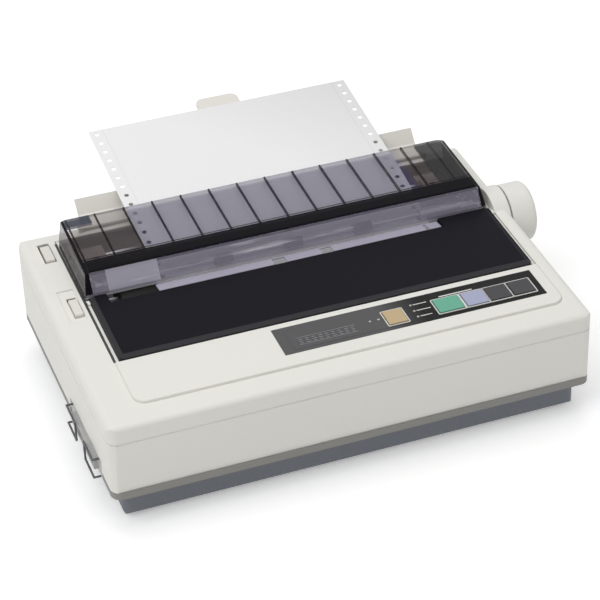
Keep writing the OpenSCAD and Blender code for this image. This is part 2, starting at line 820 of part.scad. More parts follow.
// Plate behind the covers that carries the sheet, with a long support in its middle
module sheet_guide() {
    t = 2;
    y0 = guide_hinge_y;
    z0 = guide_hinge_z;
    lean_y = housing_d + 8;
    lean_z = z0 + 5.2;
    tip_y = lean_y + 9.5;
    tip_z = lean_z + 10.4;
    end_z = paper_z(paper_end) + (support_end - paper_end) * tan(paper_low) - 0.6;
    color(white_plastic) placed() {
        along_x(guide_x - guide_w / 2, guide_w) {
            polygon([[y0, z0 - 1], [lean_y + 0.6, lean_z - 1.6], [tip_y + 1.6, tip_z - 1],
                [tip_y, tip_z],
                [lean_y - 0.4, lean_z], [y0, z0 + 1]]);
            translate([y0, z0]) circle(1.7);
        }
        for (side = [-1, 1]) {
            rod_x(guide_x + side * (guide_w / 2 + 1.4) - 2.4, 4.8, y0, z0, pin_r);
        }
        intersection() {
            along_x(support_x - support_w / 2, support_w)
                polygon([[tip_y - 0.6, tip_z - 1.6], [tip_y + 1, tip_z - t - 1],
                    [support_end, end_z - t],
                    [support_end, end_z], [tip_y + 3, paper_z(tip_y + 3) - 0.6]]);
            translate([support_x - support_w / 2, tip_y - 20, 90])
                linear_extrude(80) tongue(support_w, support_end - tip_y + 20, 7);
        }
    }
}

// Rectangle with two round back corners
module tongue(w, d, r) {
    square([w, d - r]);
    translate([r, 0]) square([w - 2 * r, d]);
    translate([r, d - r]) circle(r);
    translate([w - r, d - r]) circle(r);
}

// Path of the paper: round the platen, up in a gentle bow and straight on over the guide
paper_r = platen_r + slide_gap + paper_t / 2;
paper_high = 21;
paper_low = 7.8;
paper_end = support_end - 15;
bow_end = bay_back - 17;
leave_y = platen_y - paper_r * sin(paper_high);
leave_z = platen_h + paper_r * cos(paper_high);
crown_z = leave_z + (bow_end - leave_y) * (tan(paper_high) + tan(paper_low)) / 2;
bow_y = (crown_z - leave_z + leave_y * tan(paper_high) - bow_end * tan(paper_low))
    / (tan(paper_high) - tan(paper_low));
bow_z = leave_z + (bow_y - leave_y) * tan(paper_high);
function bow(t, a, b, c) = (1 - t) * (1 - t) * a + 2 * t * (1 - t) * b + t * t * c;
bow_steps = 10;
// The bow starts just inside the round part, so that both are one sheet
bow_points = [for (i = [-1 : bow_steps]) let (t = max(i / bow_steps, -0.005))
    [bow(t, leave_y, bow_y, bow_end), bow(t, leave_z, bow_z, crown_z)]];
function bow_part(y) = (sqrt(pow(bow_y - leave_y, 2) + (leave_y - 2 * bow_y + bow_end) * (y - leave_y))
    - (bow_y - leave_y)) / (leave_y - 2 * bow_y + bow_end);
function paper_z(y) = y > bow_end ? crown_z + (y - bow_end) * tan(paper_low)
    : bow(bow_part(y), leave_z, bow_z, crown_z);
function paper_slope(y) = y > bow_end ? paper_low
    : paper_high + (paper_low - paper_high) * (y - leave_y) / (bow_end - leave_y);
function hole_y(i) = i == 0 ? paper_end - hole_pitch / 2
    : hole_y(i - 1) - hole_pitch * cos(paper_slope(hole_y(i - 1)));
upper_holes = 16;
lower_holes = 4;
tail = 52;

module paper() {
    h = paper_t / 2;
    color("white") placed() difference() {
        union() {
            along_x(paper_x - paper_w / 2, paper_w)
                polygon(concat([for (p = bow_points) [p[0], p[1] + h]],
                    [[paper_end, paper_z(paper_end) + h], [paper_end, paper_z(paper_end) - h]],
                    [for (i = [bow_steps + 1 : -1 : 0]) [bow_points[i][0], bow_points[i][1] - h]]));
            along_x(paper_x - paper_w / 2, paper_w) {
                difference() {
                    translate([platen_y, platen_h]) circle(paper_r + h);
                    translate([platen_y, platen_h]) circle(paper_r - h);
                    polygon([[platen_y, platen_h],
                        [leave_y + (leave_y - platen_y), 2 * leave_z - platen_h],
                        [platen_y + 60, platen_h + 60], [platen_y + 60, platen_h - 60],
                        [platen_y, platen_h - 60]]);
                }
                translate([platen_y, platen_h - paper_r - h]) square([tail, paper_t]);
            }
        }
        for (side = [-1, 1]) {
            x = paper_x + side * (paper_w / 2 - hole_inset);
            for (i = [0 : upper_holes - 1]) {
                translate([x, hole_y(i), platen_h]) cylinder(h = 80, r = hole_r);
            }
            for (i = [0 : lower_holes - 1]) {
                translate([x, platen_y + (i + 0.5) * hole_pitch, platen_h - 30])
                    cylinder(h = 25, r = hole_r);
            }
        }
    }
}

// Curved pan that leads the paper round the platen
pan_r = paper_r + paper_t / 2 + slide_gap + 0.2;
pan_t = 1.4;
module paper_pan() {
    color(steel) placed() along_x(frame_l + frame_t, frame_r - frame_l - 2 * frame_t) {
        difference() {
            translate([platen_y, platen_h]) circle(pan_r + pan_t);
            translate([platen_y, platen_h]) circle(pan_r);
            translate([platen_y - 60, platen_h - 12]) square([120, 60]);
            translate([platen_y, platen_h - 60]) square([60, 120]);
        }
        translate([platen_y, platen_h - pan_r - pan_t]) square([frame_back - 2 - platen_y, pan_t]);
    }
}

// Gear train beside the right side frame: platen, idler and tractor shaft above, reduction below
function pitch_r(teeth) = teeth * gear_module / 2;
idler_teeth = platen_teeth;
idler_turn = -5;
tractor_turn = 22.5;
reduction_turn = -80;
pinion_turn = -60;
function step_y(teeth_a, teeth_b, turn) = (pitch_r(teeth_a) + pitch_r(teeth_b)) * cos(turn);
function step_z(teeth_a, teeth_b, turn) = (pitch_r(teeth_a) + pitch_r(teeth_b)) * sin(turn);
idler_y = platen_y + step_y(platen_teeth, idler_teeth, idler_turn);
idler_z = platen_h + step_z(platen_teeth, idler_teeth, idler_turn);
tractor_y = idler_y + step_y(idler_teeth, tractor_teeth, tractor_turn);
tractor_z = idler_z + step_z(idler_teeth, tractor_teeth, tractor_turn);
reduction_y = platen_y + step_y(platen_teeth, reduction_teeth, reduction_turn);
reduction_z = platen_h + step_z(platen_teeth, reduction_teeth, reduction_turn);
pinion_y = reduction_y + step_y(reduction_teeth, pinion_teeth, pinion_turn);
pinion_z = reduction_z + step_z(reduction_teeth, pinion_teeth, pinion_turn);
gear_x = frame_r + 1.5;
gear_w = 5;
stud_r = 2;
rod_r = 3;
motor_shaft_r = 1.5;

// Turn of a gear whose gap meets a tooth of the gear before it
function meshed(turn, before, teeth_a, teeth_b) =
    turn + 180 - (0.5 - (turn - before) * teeth_a / 360) * 360 / teeth_b;
idler_phase = meshed(idler_turn, 0, platen_teeth, idler_teeth);
tractor_phase = meshed(tractor_turn, idler_phase, idler_teeth, tractor_teeth);
reduction_phase = meshed(reduction_turn, 0, platen_teeth, reduction_teeth);
pinion_phase = meshed(pinion_turn, reduction_phase, reduction_teeth, pinion_teeth);

// Angle in degrees between the start of an involute and its point at a radius
function involute(base, r) = r <= base ? 0
    : sqrt(pow(r / base, 2) - 1) * 180 / PI - acos(base / r);

// Outline of a spur gear with involute flanks and some backlash
module gear_outline(teeth) {
    press = 20;
    backlash = 0.22;
    r = pitch_r(teeth);
    base = r * cos(press);
    tip = r + 0.85 * gear_module;
    root = r - 1.2 * gear_module;
    half = 90 / teeth - backlash / 2 / r * 180 / PI;
    start = max(base, root);
    steps = 3;
    function flank(q) = start + (tip - start) * q / steps;
    function half_at(rr) = half + involute(base, r) - involute(base, rr);
    polygon([for (i = [0 : teeth - 1]) let (c = i * 360 / teeth) each concat(
        [[root * cos(c - half_at(start)), root * sin(c - half_at(start))]],
        [for (q = [0 : steps]) let (rr = flank(q), a = c - half_at(rr)) [rr * cos(a), rr * sin(a)]],
        [for (q = [steps : -1 : 0]) let (rr = flank(q), a = c + half_at(rr)) [rr * cos(a), rr * sin(a)]],
        [[root * cos(c + half_at(start)), root * sin(c + half_at(start))]])]);
}

module gear(teeth, y, z, phase, bore) {
    along_x(gear_x, gear_w) translate([y, z]) difference() {
        rotate(phase) gear_outline(teeth);
        circle(bore);
    }
}

roller_l = frame_l + 22;
roller_r = frame_r - 18;

module platen() {
    color([0.1, 0.1, 0.11]) placed() difference() {
        rod_x(roller_l, roller_r - roller_l, platen_y, platen_h, platen_r);
        rod_x(roller_l - 1, roller_r - roller_l + 2, platen_y, platen_h, shaft_r + 0.02);
    }
}

module platen_shaft() {
    color(steel) placed()
        rod_x(frame_l - 2, housing_w + knob_gap + 15 - frame_l + 2, platen_y, platen_h, shaft_r);
}

module platen_knob() {
    rim = 5;
    color(off_white) placed() translate([housing_w + knob_gap, platen_y, platen_h]) rotate([0, 90, 0])
        difference() {
            rotate_extrude($fn = 96) {
                square([knob_r - rim, knob_len]);
                square([knob_r, knob_len - rim]);
                intersection() {
                    translate([knob_r - rim, knob_len - rim]) circle(rim);
                    square([knob_r, knob_len]);
                }
            }
            translate([0, 0, -1]) cylinder(h = 16.2, r = shaft_r + 0.02);
        }
}

module platen_gear() {
    color(white_plastic) placed() gear(platen_teeth, platen_y, platen_h, 0, shaft_r + 0.02);
}

module idler_gear() {
    color(white_plastic) placed() gear(idler_teeth, idler_y, idler_z, idler_phase, stud_r + run_gap);
}

module reduction_gear() {
    color(white_plastic) placed()
        gear(reduction_teeth, reduction_y, reduction_z, reduction_phase, stud_r + run_gap);
}

module feed_pinion() {
    color("goldenrod") placed()
        gear(pinion_teeth, pinion_y, pinion_z, pinion_phase, motor_shaft_r + run_gap);
}

module feed_motor() {
    body = 34;
    color(steel) placed() {
        rod_x(frame_r - frame_t - body, body, pinion_y, pinion_z, 17.5);
        rod_x(frame_r - frame_t - 0.1, gear_x + gear_w + 0.6 - frame_r + frame_t, pinion_y, pinion_z,
            motor_shaft_r);
    }
}

bush_r = 8;
module platen_bushes() {
    color(black) placed() for (x = [frame_l, frame_r - frame_t]) {
        inner = x == frame_l ? x + frame_t : x - 2;
        difference() {
            union() {
                rod_x(x - 0.3, frame_t + 0.6, platen_y, platen_h, bush_r);
                rod_x(inner, 2, platen_y, platen_h, bush_r + 2);
            }
            rod_x(x - 5, 12, platen_y, platen_h, shaft_r + run_gap);
        }
    }
}

bail_y = platen_y + 22;
bail_z = platen_h + 10;
bail_roller_r = 4;
bail_turn = 10;
bail_far = paper_r + paper_t / 2 + slide_gap + bail_roller_r + 0.4;
bail_rod_y = platen_y - bail_far * sin(bail_turn);
bail_rod_z = platen_h + bail_far * cos(bail_turn);
bail_rod_r = 2;
sleeve_len = 42;

// Swinging bail that holds the paper on the platen, with light sleeves at its ends
module paper_bail() {
    inner_l = frame_l + frame_t + 1;
    inner_r = frame_r - frame_t - 1;
    arm = 3;
    reach = sqrt(pow(bail_y - bail_rod_y, 2) + pow(bail_rod_z - bail_z, 2));
    tilt = atan2(bail_rod_z - bail_z, bail_y - bail_rod_y);
    color(steel) placed() {
        rod_x(inner_l, inner_r - inner_l, bail_rod_y, bail_rod_z, bail_rod_r);
        for (x = [inner_l, inner_r - arm]) {
            along_x(x, arm) {
                translate([bail_y, bail_z]) circle(4);
                translate([bail_rod_y, bail_rod_z]) circle(3.5);
                translate([bail_y, bail_z]) rotate(180 - tilt) translate([0, -2.8])
                    square([reach, 5.6]);
            }
        }
        rod_x(inner_l - 2.6, 3, bail_y, bail_z, stud_r);
        rod_x(inner_r - 0.4, 3, bail_y, bail_z, stud_r);
        for (x = [inner_l + arm + 4, inner_r - arm - 4 - sleeve_len]) {
            rod_x(x, sleeve_len, bail_rod_y, bail_rod_z, bail_roller_r);
        }
    }
}

module bail_rollers() {
    color([0.2, 0.2, 0.2]) placed() for (k = [-1, 0, 1]) {
        difference() {
            rod_x(paper_x + k * 62 - 8, 16, bail_rod_y, bail_rod_z, bail_roller_r);
            rod_x(paper_x + k * 62 - 9, 18, bail_rod_y, bail_rod_z, bail_rod_r + run_gap);
        }
    }
}

rail_y = tractor_y + 18;
rail_z = tractor_z;
guide_y = platen_y - 44;
guide_z = 52;
guide_r = 4;

// Side view of a side frame
module frame_plate() {
    difference() {
        polygon([[frame_front, frame_foot_z], [frame_back, frame_foot_z], [frame_back, tractor_z + 8],
            [bail_y - 7, bail_z + 5], [bail_y - 11, platen_h + 11], [platen_y - 32, platen_h + 11],
            [guide_y + 4, guide_z + 10], [frame_front, guide_z + 10]]);
        translate([platen_y, platen_h]) circle(bush_r + 0.02);
        translate([guide_y, guide_z]) circle(guide_r + 0.02);
        translate([tractor_y, tractor_z]) circle(rod_r + run_gap);
        translate([rail_y, rail_z]) circle(rod_r + 0.02);
        translate([bail_y, bail_z]) circle(stud_r + run_gap);
        translate([pinion_y, pinion_z]) circle(5);
    }
}

module side_frame_left() {
    color(steel) placed() {
        along_x(frame_l, frame_t) frame_plate();
        difference() {
            block([frame_l - 12, frame_front, frame_foot_z], [frame_l + 0.5, frame_back,
                frame_foot_z + frame_t]);
            for (p = frame_feet) {
                translate([p[0], p[1], 0]) cylinder(h = 20, r = screw_r + 0.2);
            }
        }
        for (p = [[release_y, lever_pivot_z], [gap_y, lever_pivot_z]]) {
            rod_x(lever_x - 6, frame_l - lever_x + 6.2, p[0], p[1], stud_r);
        }
    }
}

module side_frame_right() {
    color(steel) placed() {
        along_x(frame_r - frame_t, frame_t) frame_plate();
        difference() {
            block([frame_r - 0.5, frame_front, frame_foot_z], [frame_r + 12, frame_back,
                frame_foot_z + frame_t]);
            for (p = frame_feet) {
                translate([p[0], p[1], 0]) cylinder(h = 20, r = screw_r + 0.2);
            }
        }
        rod_x(frame_r - 0.2, gear_x + gear_w + 0.8 - frame_r, idler_y, idler_z, stud_r);
        rod_x(frame_r - 0.2, gear_x + gear_w + 0.8 - frame_r, reduction_y, reduction_z, stud_r);
    }
}

pulley_y = platen_y - 62;
pulley_r = 8;
pulley_l = frame_l + 22;
pulley_far = frame_r - 20;
belt_z = 38;
belt_h = 6;
belt_t = 1.2;

// Sheet metal stays between the side frames, with the bracket of the return pulley
module frame_stays() {
    span_l = frame_l + frame_t;
    span_r = frame_r - frame_t;
    color(steel) placed() {
        block([span_l, frame_front, frame_foot_z + 3], [span_r, frame_front + frame_t, 46]);
        block([span_l, frame_back - 6, frame_foot_z + 3], [span_r, frame_back - 6 + frame_t, slot_z]);
        block([pulley_far - 10, frame_front + frame_t - 0.1, belt_z - 5],
              [span_r, pulley_y + 10, belt_z - 3]);
        translate([pulley_far, pulley_y, belt_z - 3.1]) cylinder(h = 12.1, r = stud_r);
        // Rail that the carriage's front foot slides on
        block([span_l, frame_front + frame_t, guide_z - 4.7],
              [span_r, frame_front + 14, guide_z - 3.1]);
    }
}

module guide_rod() {
    color("silver") placed() rod_x(frame_l - 1.5, frame_r - frame_l + 3, guide_y, guide_z, guide_r);
}

tractor_half = 10;
tractor_top = tractor_z + 8.3;
tractor_l = frame_l + frame_t + tractor_half + 5.8;
tractor_r = frame_r - frame_t - tractor_half - 5.8;
sprocket_r = 4 * hole_pitch / (2 * PI);
door_t = 2;
door_gap = 2.2;
door_z = tractor_top + 0.5;

module tractor_shaft() {
    color(steel) placed() {
        rod_x(frame_l - 1.5, gear_x + gear_w - frame_l + 1.5, tractor_y, tractor_z, rod_r);
        gear(tractor_teeth, tractor_y, tractor_z, tractor_phase, rod_r - 0.5);
    }
}

module tractor_rail() {
    color(steel) placed() rod_x(frame_l - 1.5, frame_r - frame_l + 3, rail_y, rail_z, rod_r);
}

// Sliding tractor body with a pocket for its pin wheel and ears for its door, hinged on one side
module tractor(x, side) {
    hinge_x = x + side * (tractor_half + door_gap);
    color(black) placed() {
        difference() {
            union() {
                block([x - tractor_half, tractor_y - 13, tractor_z - 8.5],
                      [x + tractor_half, rail_y + 5.5, tractor_top]);
                for (y = [tractor_y - 9, tractor_y + 14]) {
                    block([min(x + side * 9, hinge_x + side), y, tractor_top - 6],
                          [max(x + side * 9, hinge_x + side), y + 3, door_z + 1]);
                }
            }
            rod_x(x - 3.5, 7, tractor_y, tractor_z, sprocket_r + 2.3);
            rod_x(x - 20, 40, tractor_y, tractor_z, rod_r + 0.1);
            rod_x(x - 20, 40, rail_y, rail_z, rod_r + run_gap);
        }
        rod_y(tractor_y - 7, 22, hinge_x, door_z, 0.8);
    }
}

module sprocket(x) {
    color(black) placed() translate([x, tractor_y, tractor_z]) difference() {
        union() {
            rod_x(-3, 6, 0, 0, sprocket_r - 0.2);
            for (i = [0 : 3]) {
                rotate([45 + i * 90, 0, 0]) translate([0, 0, sprocket_r - 1])
                    cylinder(h = 2.6, r = 1.5);
            }
        }
        rod_x(-10, 20, 0, 0, rod_r + run_gap);
    }
}

module tractor_door(x, side) {
    hinge_x = x + side * (tractor_half + door_gap);
    free_x = x - side * 9;
    color(black) placed() difference() {
        union() {
            rod_y(tractor_y - 5.6, 19.2, hinge_x, door_z, 1.5);
            block([min(hinge_x, free_x), tractor_y - 5.6, door_z - 0.2],
                  [max(hinge_x, free_x), tractor_y + 13.6, door_z + door_t - 0.2]);
        }
        rod_y(tractor_y - 7, 22, hinge_x, door_z, 0.8 + run_gap);
        block([x - 3, tractor_y - 4.5, door_z - 3], [x + 3, tractor_y + 4.5, door_z + 5]);
    }
}

module tractor_left() { tractor(tractor_l, -1); }
module tractor_right() { tractor(tractor_r, 1); }
module sprocket_left() { sprocket(tractor_l); }
module sprocket_right() { sprocket(tractor_r); }
module tractor_door_left() { tractor_door(tractor_l, -1); }
module tractor_door_right() { tractor_door(tractor_r, 1); }

print_w = 203.2;
home_x = paper_x - print_w / 2;
clamp_y = pulley_y + pulley_r + 0.1 + belt_t / 2;

// Carriage on its rod and rail, clamped round the belt's rear run
module carriage() {
    color(black) placed() difference() {
        union() {
            block([home_x - 22, guide_y - 12, guide_z - 8], [home_x + 22, guide_y + 12, guide_z + 10]);
            block([home_x - 22, frame_front + 6, guide_z - 2.8],
                  [home_x + 22, guide_y - 11, guide_z + 1]);
            block([home_x - 8, clamp_y - 3, belt_z - 1.5], [home_x + 8, clamp_y + 3, guide_z - 7]);
            block([home_x - 40, frame_front + 18, guide_z + 9],
                  [home_x + 40, guide_y + 12, guide_z + 12]);
        }
        rod_x(home_x - 60, 120, guide_y, guide_z, guide_r + run_gap);
        block([home_x - 10, clamp_y - belt_t / 2 - slide_gap, belt_z - slide_gap],
              [home_x + 10, clamp_y + belt_t / 2 + slide_gap, belt_z + belt_h + slide_gap]);
    }
}

// Print head: finned body with a narrow nose at the platen
module print_head() {
    top = platen_h + 8;
    color([0.3, 0.3, 0.32]) placed() {
        block([home_x - 15, guide_y + 8, guide_z + 12], [home_x + 15, guide_y + 19, top]);
        for (i = [0 : 4]) {
            block([home_x - 15, guide_y - 8, guide_z + 14 + i * 5.2], [home_x + 15, guide_y + 8.1,
                guide_z + 16.5 + i * 5.2]);
        }
        block([home_x - 3, guide_y - 7, guide_z + 12], [home_x + 3, guide_y + 8.1, top - 2]);
        block([home_x - 5, guide_y + 18, platen_h - 6],
              [home_x + 5, platen_y - paper_r - 1.1, platen_h + 6]);
    }
}

// Ribbon cartridge round the head, with two arms that carry the ribbon past its nose
cartridge_z = guide_z + 12;
module ribbon_cartridge() {
    ribbon_y = platen_y - paper_r - 0.9;
    low = cartridge_z + 8;
    color(black) placed() {
        difference() {
            block([home_x - 48, guide_y - 28, cartridge_z],
                  [home_x + 48, guide_y + 17, cartridge_z + 14]);
            block([home_x - 17, guide_y - 10, cartridge_z - 1], [home_x + 17, guide_y + 30,
                cartridge_z + 20]);
        }
        for (side = [-1, 1]) {
            a = home_x + side * 21;
            block([min(a, a + side * 7), guide_y + 16, low],
                  [max(a, a + side * 7), ribbon_y, low + 13]);
        }
        block([home_x - 27, ribbon_y - 0.1, low + 1], [home_x + 27, ribbon_y + 0.15, low + 12]);
    }
}

module ribbon_knob() {
    color("dimgray") placed() translate([home_x - 33, guide_y - 14, cartridge_z + 14 + slide_gap]) {
        difference() {
            cylinder(h = 6, r = 7);
            for (i = [0 : 11]) {
                rotate(i * 30) translate([7.4, 0, -1]) cylinder(h = 8, r = 0.9);
            }
        }
    }
}

module belt_ring(r) {
    square_l = pulley_far - pulley_l;
    translate([pulley_l, pulley_y]) circle(r);
    translate([pulley_far, pulley_y]) circle(r);
    translate([pulley_l, pulley_y - r]) square([square_l, 2 * r]);
}

module carriage_belt() {
    color(black) placed() translate([0, 0, belt_z]) linear_extrude(belt_h) difference() {
        belt_ring(pulley_r + 0.1 + belt_t);
        belt_ring(pulley_r + 0.1);
    }
}

module pulley(x, bore) {
    color(white_plastic) placed() translate([x, pulley_y, belt_z - 1.6]) difference() {
        union() {
            cylinder(h = belt_h + 3.2, r = pulley_r);
            for (z = [0, belt_h + 2.2]) {
                translate([0, 0, z]) cylinder(h = 1, r = pulley_r + 1.4);
            }
        }
        translate([0, 0, -1]) cylinder(h = belt_h + 6, r = bore);
        for (i = [0 : 4]) {
            rotate(i * 72) translate([4.8, 0, -1]) cylinder(h = belt_h + 6, r = 1);
        }
    }
}

module drive_pulley() { pulley(pulley_l, 2.5 + run_gap); }
module return_pulley() { pulley(pulley_far, stud_r + run_gap); }

module carriage_motor() {
    color(steel) placed() translate([pulley_l, pulley_y, floor_z]) {
        cylinder(h = belt_z - 4 - floor_z, r = 17);
        cylinder(h = belt_z + belt_h + 3 - floor_z, r = 2.5);
        translate([-15, -15, 0]) cube([30, 30, 2]);
    }
}

lever_pivot_z = 62;

// Hand lever on a stud, with its pad in a slot of the left strip
module lever(x, y, width) {
    top = top_at(y) + 2;
    color(white_plastic) placed() difference() {
        union() {
            rod_x(x - width / 2, width, y, lever_pivot_z, 5);
            block([x - width / 2, y - 4, lever_pivot_z], [x + width / 2, y + 4, top - 4]);
            along_x(x - width / 2, width) translate([y - lever_pad / 2, top - 5])
                round_top(lever_pad, 5, 1.5);
        }
        rod_x(x - 20, 40, y, lever_pivot_z, stud_r + run_gap);
    }
}

module release_lever() { lever(lever_x, release_y, lever_w); }
module gap_lever() { lever(lever_x - 1.5, gap_y, lever_w + 0.8); }

bail_wire_r = 0.9;
bail_pin_x = 1.5;
bail_len = 25;
ear_low = connector_z - 7.5;
ear_high = connector_z + 7.5;
bail_pivots = [connector_y - 38, connector_y + 38];

// Wide socket in the left side, with a hollow shell and ears for its two wire clips
module parallel_connector() {
    color([0.16, 0.17, 0.2]) placed() difference() {
        union() {
            block([0.4, connector_y - connector_half, ear_low],
                  [3, connector_y + connector_half, ear_high]);
            block([2, connector_y - 34, board_z + board_t], [20, connector_y + 34, connector_z + 6]);
            block([-3, connector_y - 32, connector_z - 5.5], [3, connector_y + 32, connector_z + 5.5]);
            for (y = bail_pivots) {
                block([0.4, y - 2.5, ear_low], [3.4, y + 2.5, ear_high]);
            }
        }
        block([-4, connector_y - 30.5, connector_z - 4], [12, connector_y + 30.5, connector_z + 4]);
        for (y = bail_pivots, z = [ear_low - 1, ear_high - 3]) {
            translate([bail_pin_x, y, z]) cylinder(h = 4, r = bail_wire_r + run_gap);
        }
    }
    color("silver") placed() block([5, connector_y - 28, connector_z - 1], [12.5, connector_y + 28,
        connector_z + 1]);
}

// Wire clip: two legs from their pins out and along to a bar
module connector_bail(y, way) {
    low = ear_low - bail_wire_r - 0.3;
    high = ear_high + bail_wire_r + 0.3;
    out = -bail_reach + bail_wire_r;
    far = y + way * bail_len;
    color("silver") placed() {
        for (z = [low, high]) {
            rod_x(out, bail_pin_x - out, y, z, bail_wire_r);
            rod_y(min(y, far), bail_len, out, z, bail_wire_r);
            for (p = [[bail_pin_x, y], [out, y], [out, far]]) {
                translate([p[0], p[1], z]) sphere(bail_wire_r);
            }
        }
        translate([out, far, low]) cylinder(h = high - low, r = bail_wire_r);
        translate([bail_pin_x, y, low]) cylinder(h = 3, r = bail_wire_r);
        translate([bail_pin_x, y, high - 3]) cylinder(h = 3, r = bail_wire_r);
    }
}

module connector_bail_front() { connector_bail(bail_pivots[0], 1); }
module connector_bail_rear() { connector_bail(bail_pivots[1], -1); }

module main_board() {
    chip_z = board_z + board_t;
    color(board_green) placed() {
        block([board_l, board_front, board_z], [board_r, board_back, chip_z]);
        for (i = [0 : 2]) {
            x = board_l + 46.5 + i * 40;
            block([x, board_front + 24, chip_z - 0.1], [x + 26, board_front + 38, chip_z + 4]);
        }
        block([board_l + 82.5, board_back - 30, chip_z - 0.1],
              [board_l + 110.5, board_back - 4, chip_z + 3]);
        for (i = [0 : 3]) {
            translate([board_l + 50.5 + i * 22, board_front + 14, chip_z - 0.1])
                cylinder(h = 12, r = 4);
        }
    }
}

module power_supply() {
    top = supply_z + board_t;
    color("goldenrod") placed() {
        block([supply_l, supply_front, supply_z], [supply_r, supply_back, top]);
        block([supply_l + 14, supply_front + 8, top - 0.1],
              [supply_l + 68, supply_back - 20, top + 42]);
        block([supply_l + 20, supply_front + 3, top + 8], [supply_l + 62, supply_back - 15, top + 34]);
        for (i = [0 : 1]) {
            y = supply_front + 18 + i * (supply_back - supply_front - 46);
            translate([supply_r - 20, y, top - 0.1]) cylinder(h = 30, r = 9);
        }
        block([supply_l + 14, supply_back - 8, top - 0.1], [supply_r - 12, supply_back - 5, top + 26]);
    }
}

module power_inlet() {
    w = 27;
    h = 20;
    color(black) placed() translate([inlet_x, housing_d, inlet_z]) {
        difference() {
            union() {
                block([-w / 2, -16, -h / 2], [w / 2, 1, h / 2]);
                block([-16, 0.2, -13], [16, 2, 13]);
            }
            block([-11.5, -13, -7], [11.5, 5, 7]);
        }
        for (x = [-6, 0, 6]) {
            block([x - 1, -14, -2], [x + 1, -3, 2]);
        }
    }
}

module power_switch() {
    color(black) placed() translate([housing_w, switch_y, switch_z]) difference() {
        union() {
            block([-14, -6.7, -10.7], [0.5, 6.7, 10.7]);
            block([0.2, -8.5, -12.5], [1.8, 8.5, 12.5]);
        }
        block([-8, -5.2, -9], [5, 5.2, 9]);
        rod_y(-6.1, 12.2, rocker_x, 0, 1.2 + run_gap);
    }
}
rocker_x = -2;
rocker_tilt = 8;

// Rocker pressed at its upper end
module power_rocker() {
    color([0.15, 0.15, 0.16]) placed() translate([housing_w + rocker_x, switch_y, switch_z]) {
        rod_y(-6, 12, 0, 0, 1.2);
        rotate([0, -rocker_tilt, 0]) rod_y(-4.9, 9.8, 0, 0, 4.5);
        rotate([0, -rocker_tilt, 0]) block([0, -4.9, -7.8], [4.2, 4.9, 7.8]);
    }
}

module case_screws() {
    color("silver") placed() {
        for (p = case_places) {
            translate([p[0], p[1], ledge_z - 2]) cylinder(h = 2, r = 2.8);
            translate([p[0], p[1], ledge_z - 0.5]) cylinder(h = ledge_h + 9, r = screw_r);
        }
        for (p = frame_feet) {
            translate([p[0], p[1], frame_foot_z + frame_t]) cylinder(h = 2, r = 2.8);
            translate([p[0], p[1], frame_foot_z]) cylinder(h = frame_t + 0.5, r = screw_r);
        }
    }
}

// Draws one piece, or all of them
base_pan();
rubber_feet();
upper_housing();
control_deck();
control_panel();
button_one();
button_two();
button_three();
button_four();
button_five();
indicator_lights();
panel_board();
front_lid();
rear_cover();
tear_strip();
sheet_guide();
paper();
paper_pan();
platen();
platen_shaft();
platen_knob();
platen_gear();
idler_gear();
reduction_gear();
feed_pinion();
feed_motor();
tractor_shaft();
tractor_rail();
tractor_left();
tractor_right();
sprocket_left();
sprocket_right();
tractor_door_left();
tractor_door_right();
platen_bushes();
paper_bail();
bail_rollers();
side_frame_left();
side_frame_right();
frame_stays();
guide_rod();
carriage();
print_head();
ribbon_cartridge();
ribbon_knob();
carriage_belt();
drive_pulley();
return_pulley();
carriage_motor();
release_lever();
gap_lever();
parallel_connector();
connector_bail_front();
connector_bail_rear();
main_board();
power_supply();
power_inlet();
power_switch();
power_rocker();
case_screws();
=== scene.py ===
import bpy, bmesh, math
from mathutils import Vector, Matrix


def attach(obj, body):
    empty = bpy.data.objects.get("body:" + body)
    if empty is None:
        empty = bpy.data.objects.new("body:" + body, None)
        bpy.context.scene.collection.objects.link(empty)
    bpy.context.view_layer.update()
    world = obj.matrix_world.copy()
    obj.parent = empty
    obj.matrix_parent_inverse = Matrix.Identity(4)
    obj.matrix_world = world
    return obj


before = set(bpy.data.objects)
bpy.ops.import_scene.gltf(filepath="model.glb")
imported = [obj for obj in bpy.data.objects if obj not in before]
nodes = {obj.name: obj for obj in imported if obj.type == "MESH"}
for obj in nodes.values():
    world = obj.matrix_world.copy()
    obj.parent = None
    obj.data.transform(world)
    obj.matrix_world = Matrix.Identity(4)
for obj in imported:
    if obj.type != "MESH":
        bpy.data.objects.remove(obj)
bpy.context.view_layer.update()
print("frame loaded:", len(nodes), "nodes")

# Lengths are in metres, in the frame's own axes, unless a note says millimetres.
cameraView = {
    "place": (-0.5066, -1.5037, 1.1262),
    "azimuth": -19.008,   # degrees, 0 looks along +Y
    "elevation": 34.464,
    "roll": -2.05,
    "lens": 134.53,       # millimetres, as the sensor's width
    "sensor": 36,
    "farthest": 20,
}


def placeCamera(s):
    az, el, roll = (math.radians(s[k]) for k in ("azimuth", "elevation", "roll"))
    back = Vector((math.sin(az) * math.cos(el), -math.cos(az) * math.cos(el), math.sin(el)))
    right = Vector((math.cos(az), math.sin(az), 0))
    up = back.cross(right)
    turnedRight = right * math.cos(roll) + up * math.sin(roll)
    turnedUp = up * math.cos(roll) - right * math.sin(roll)
    cam = bpy.data.objects.new("camera", bpy.data.cameras.new("camera"))
    cam.data.lens = s["lens"]
    cam.data.sensor_width = s["sensor"]
    cam.data.clip_end = s["farthest"]
    m = Matrix((turnedRight, turnedUp, back)).transposed().to_4x4()
    m.translation = Vector(s["place"])
    cam.matrix_world = m
    bpy.context.scene.collection.objects.link(cam)
    bpy.context.scene.camera = cam


placeCamera(cameraView)
print("camera placed")


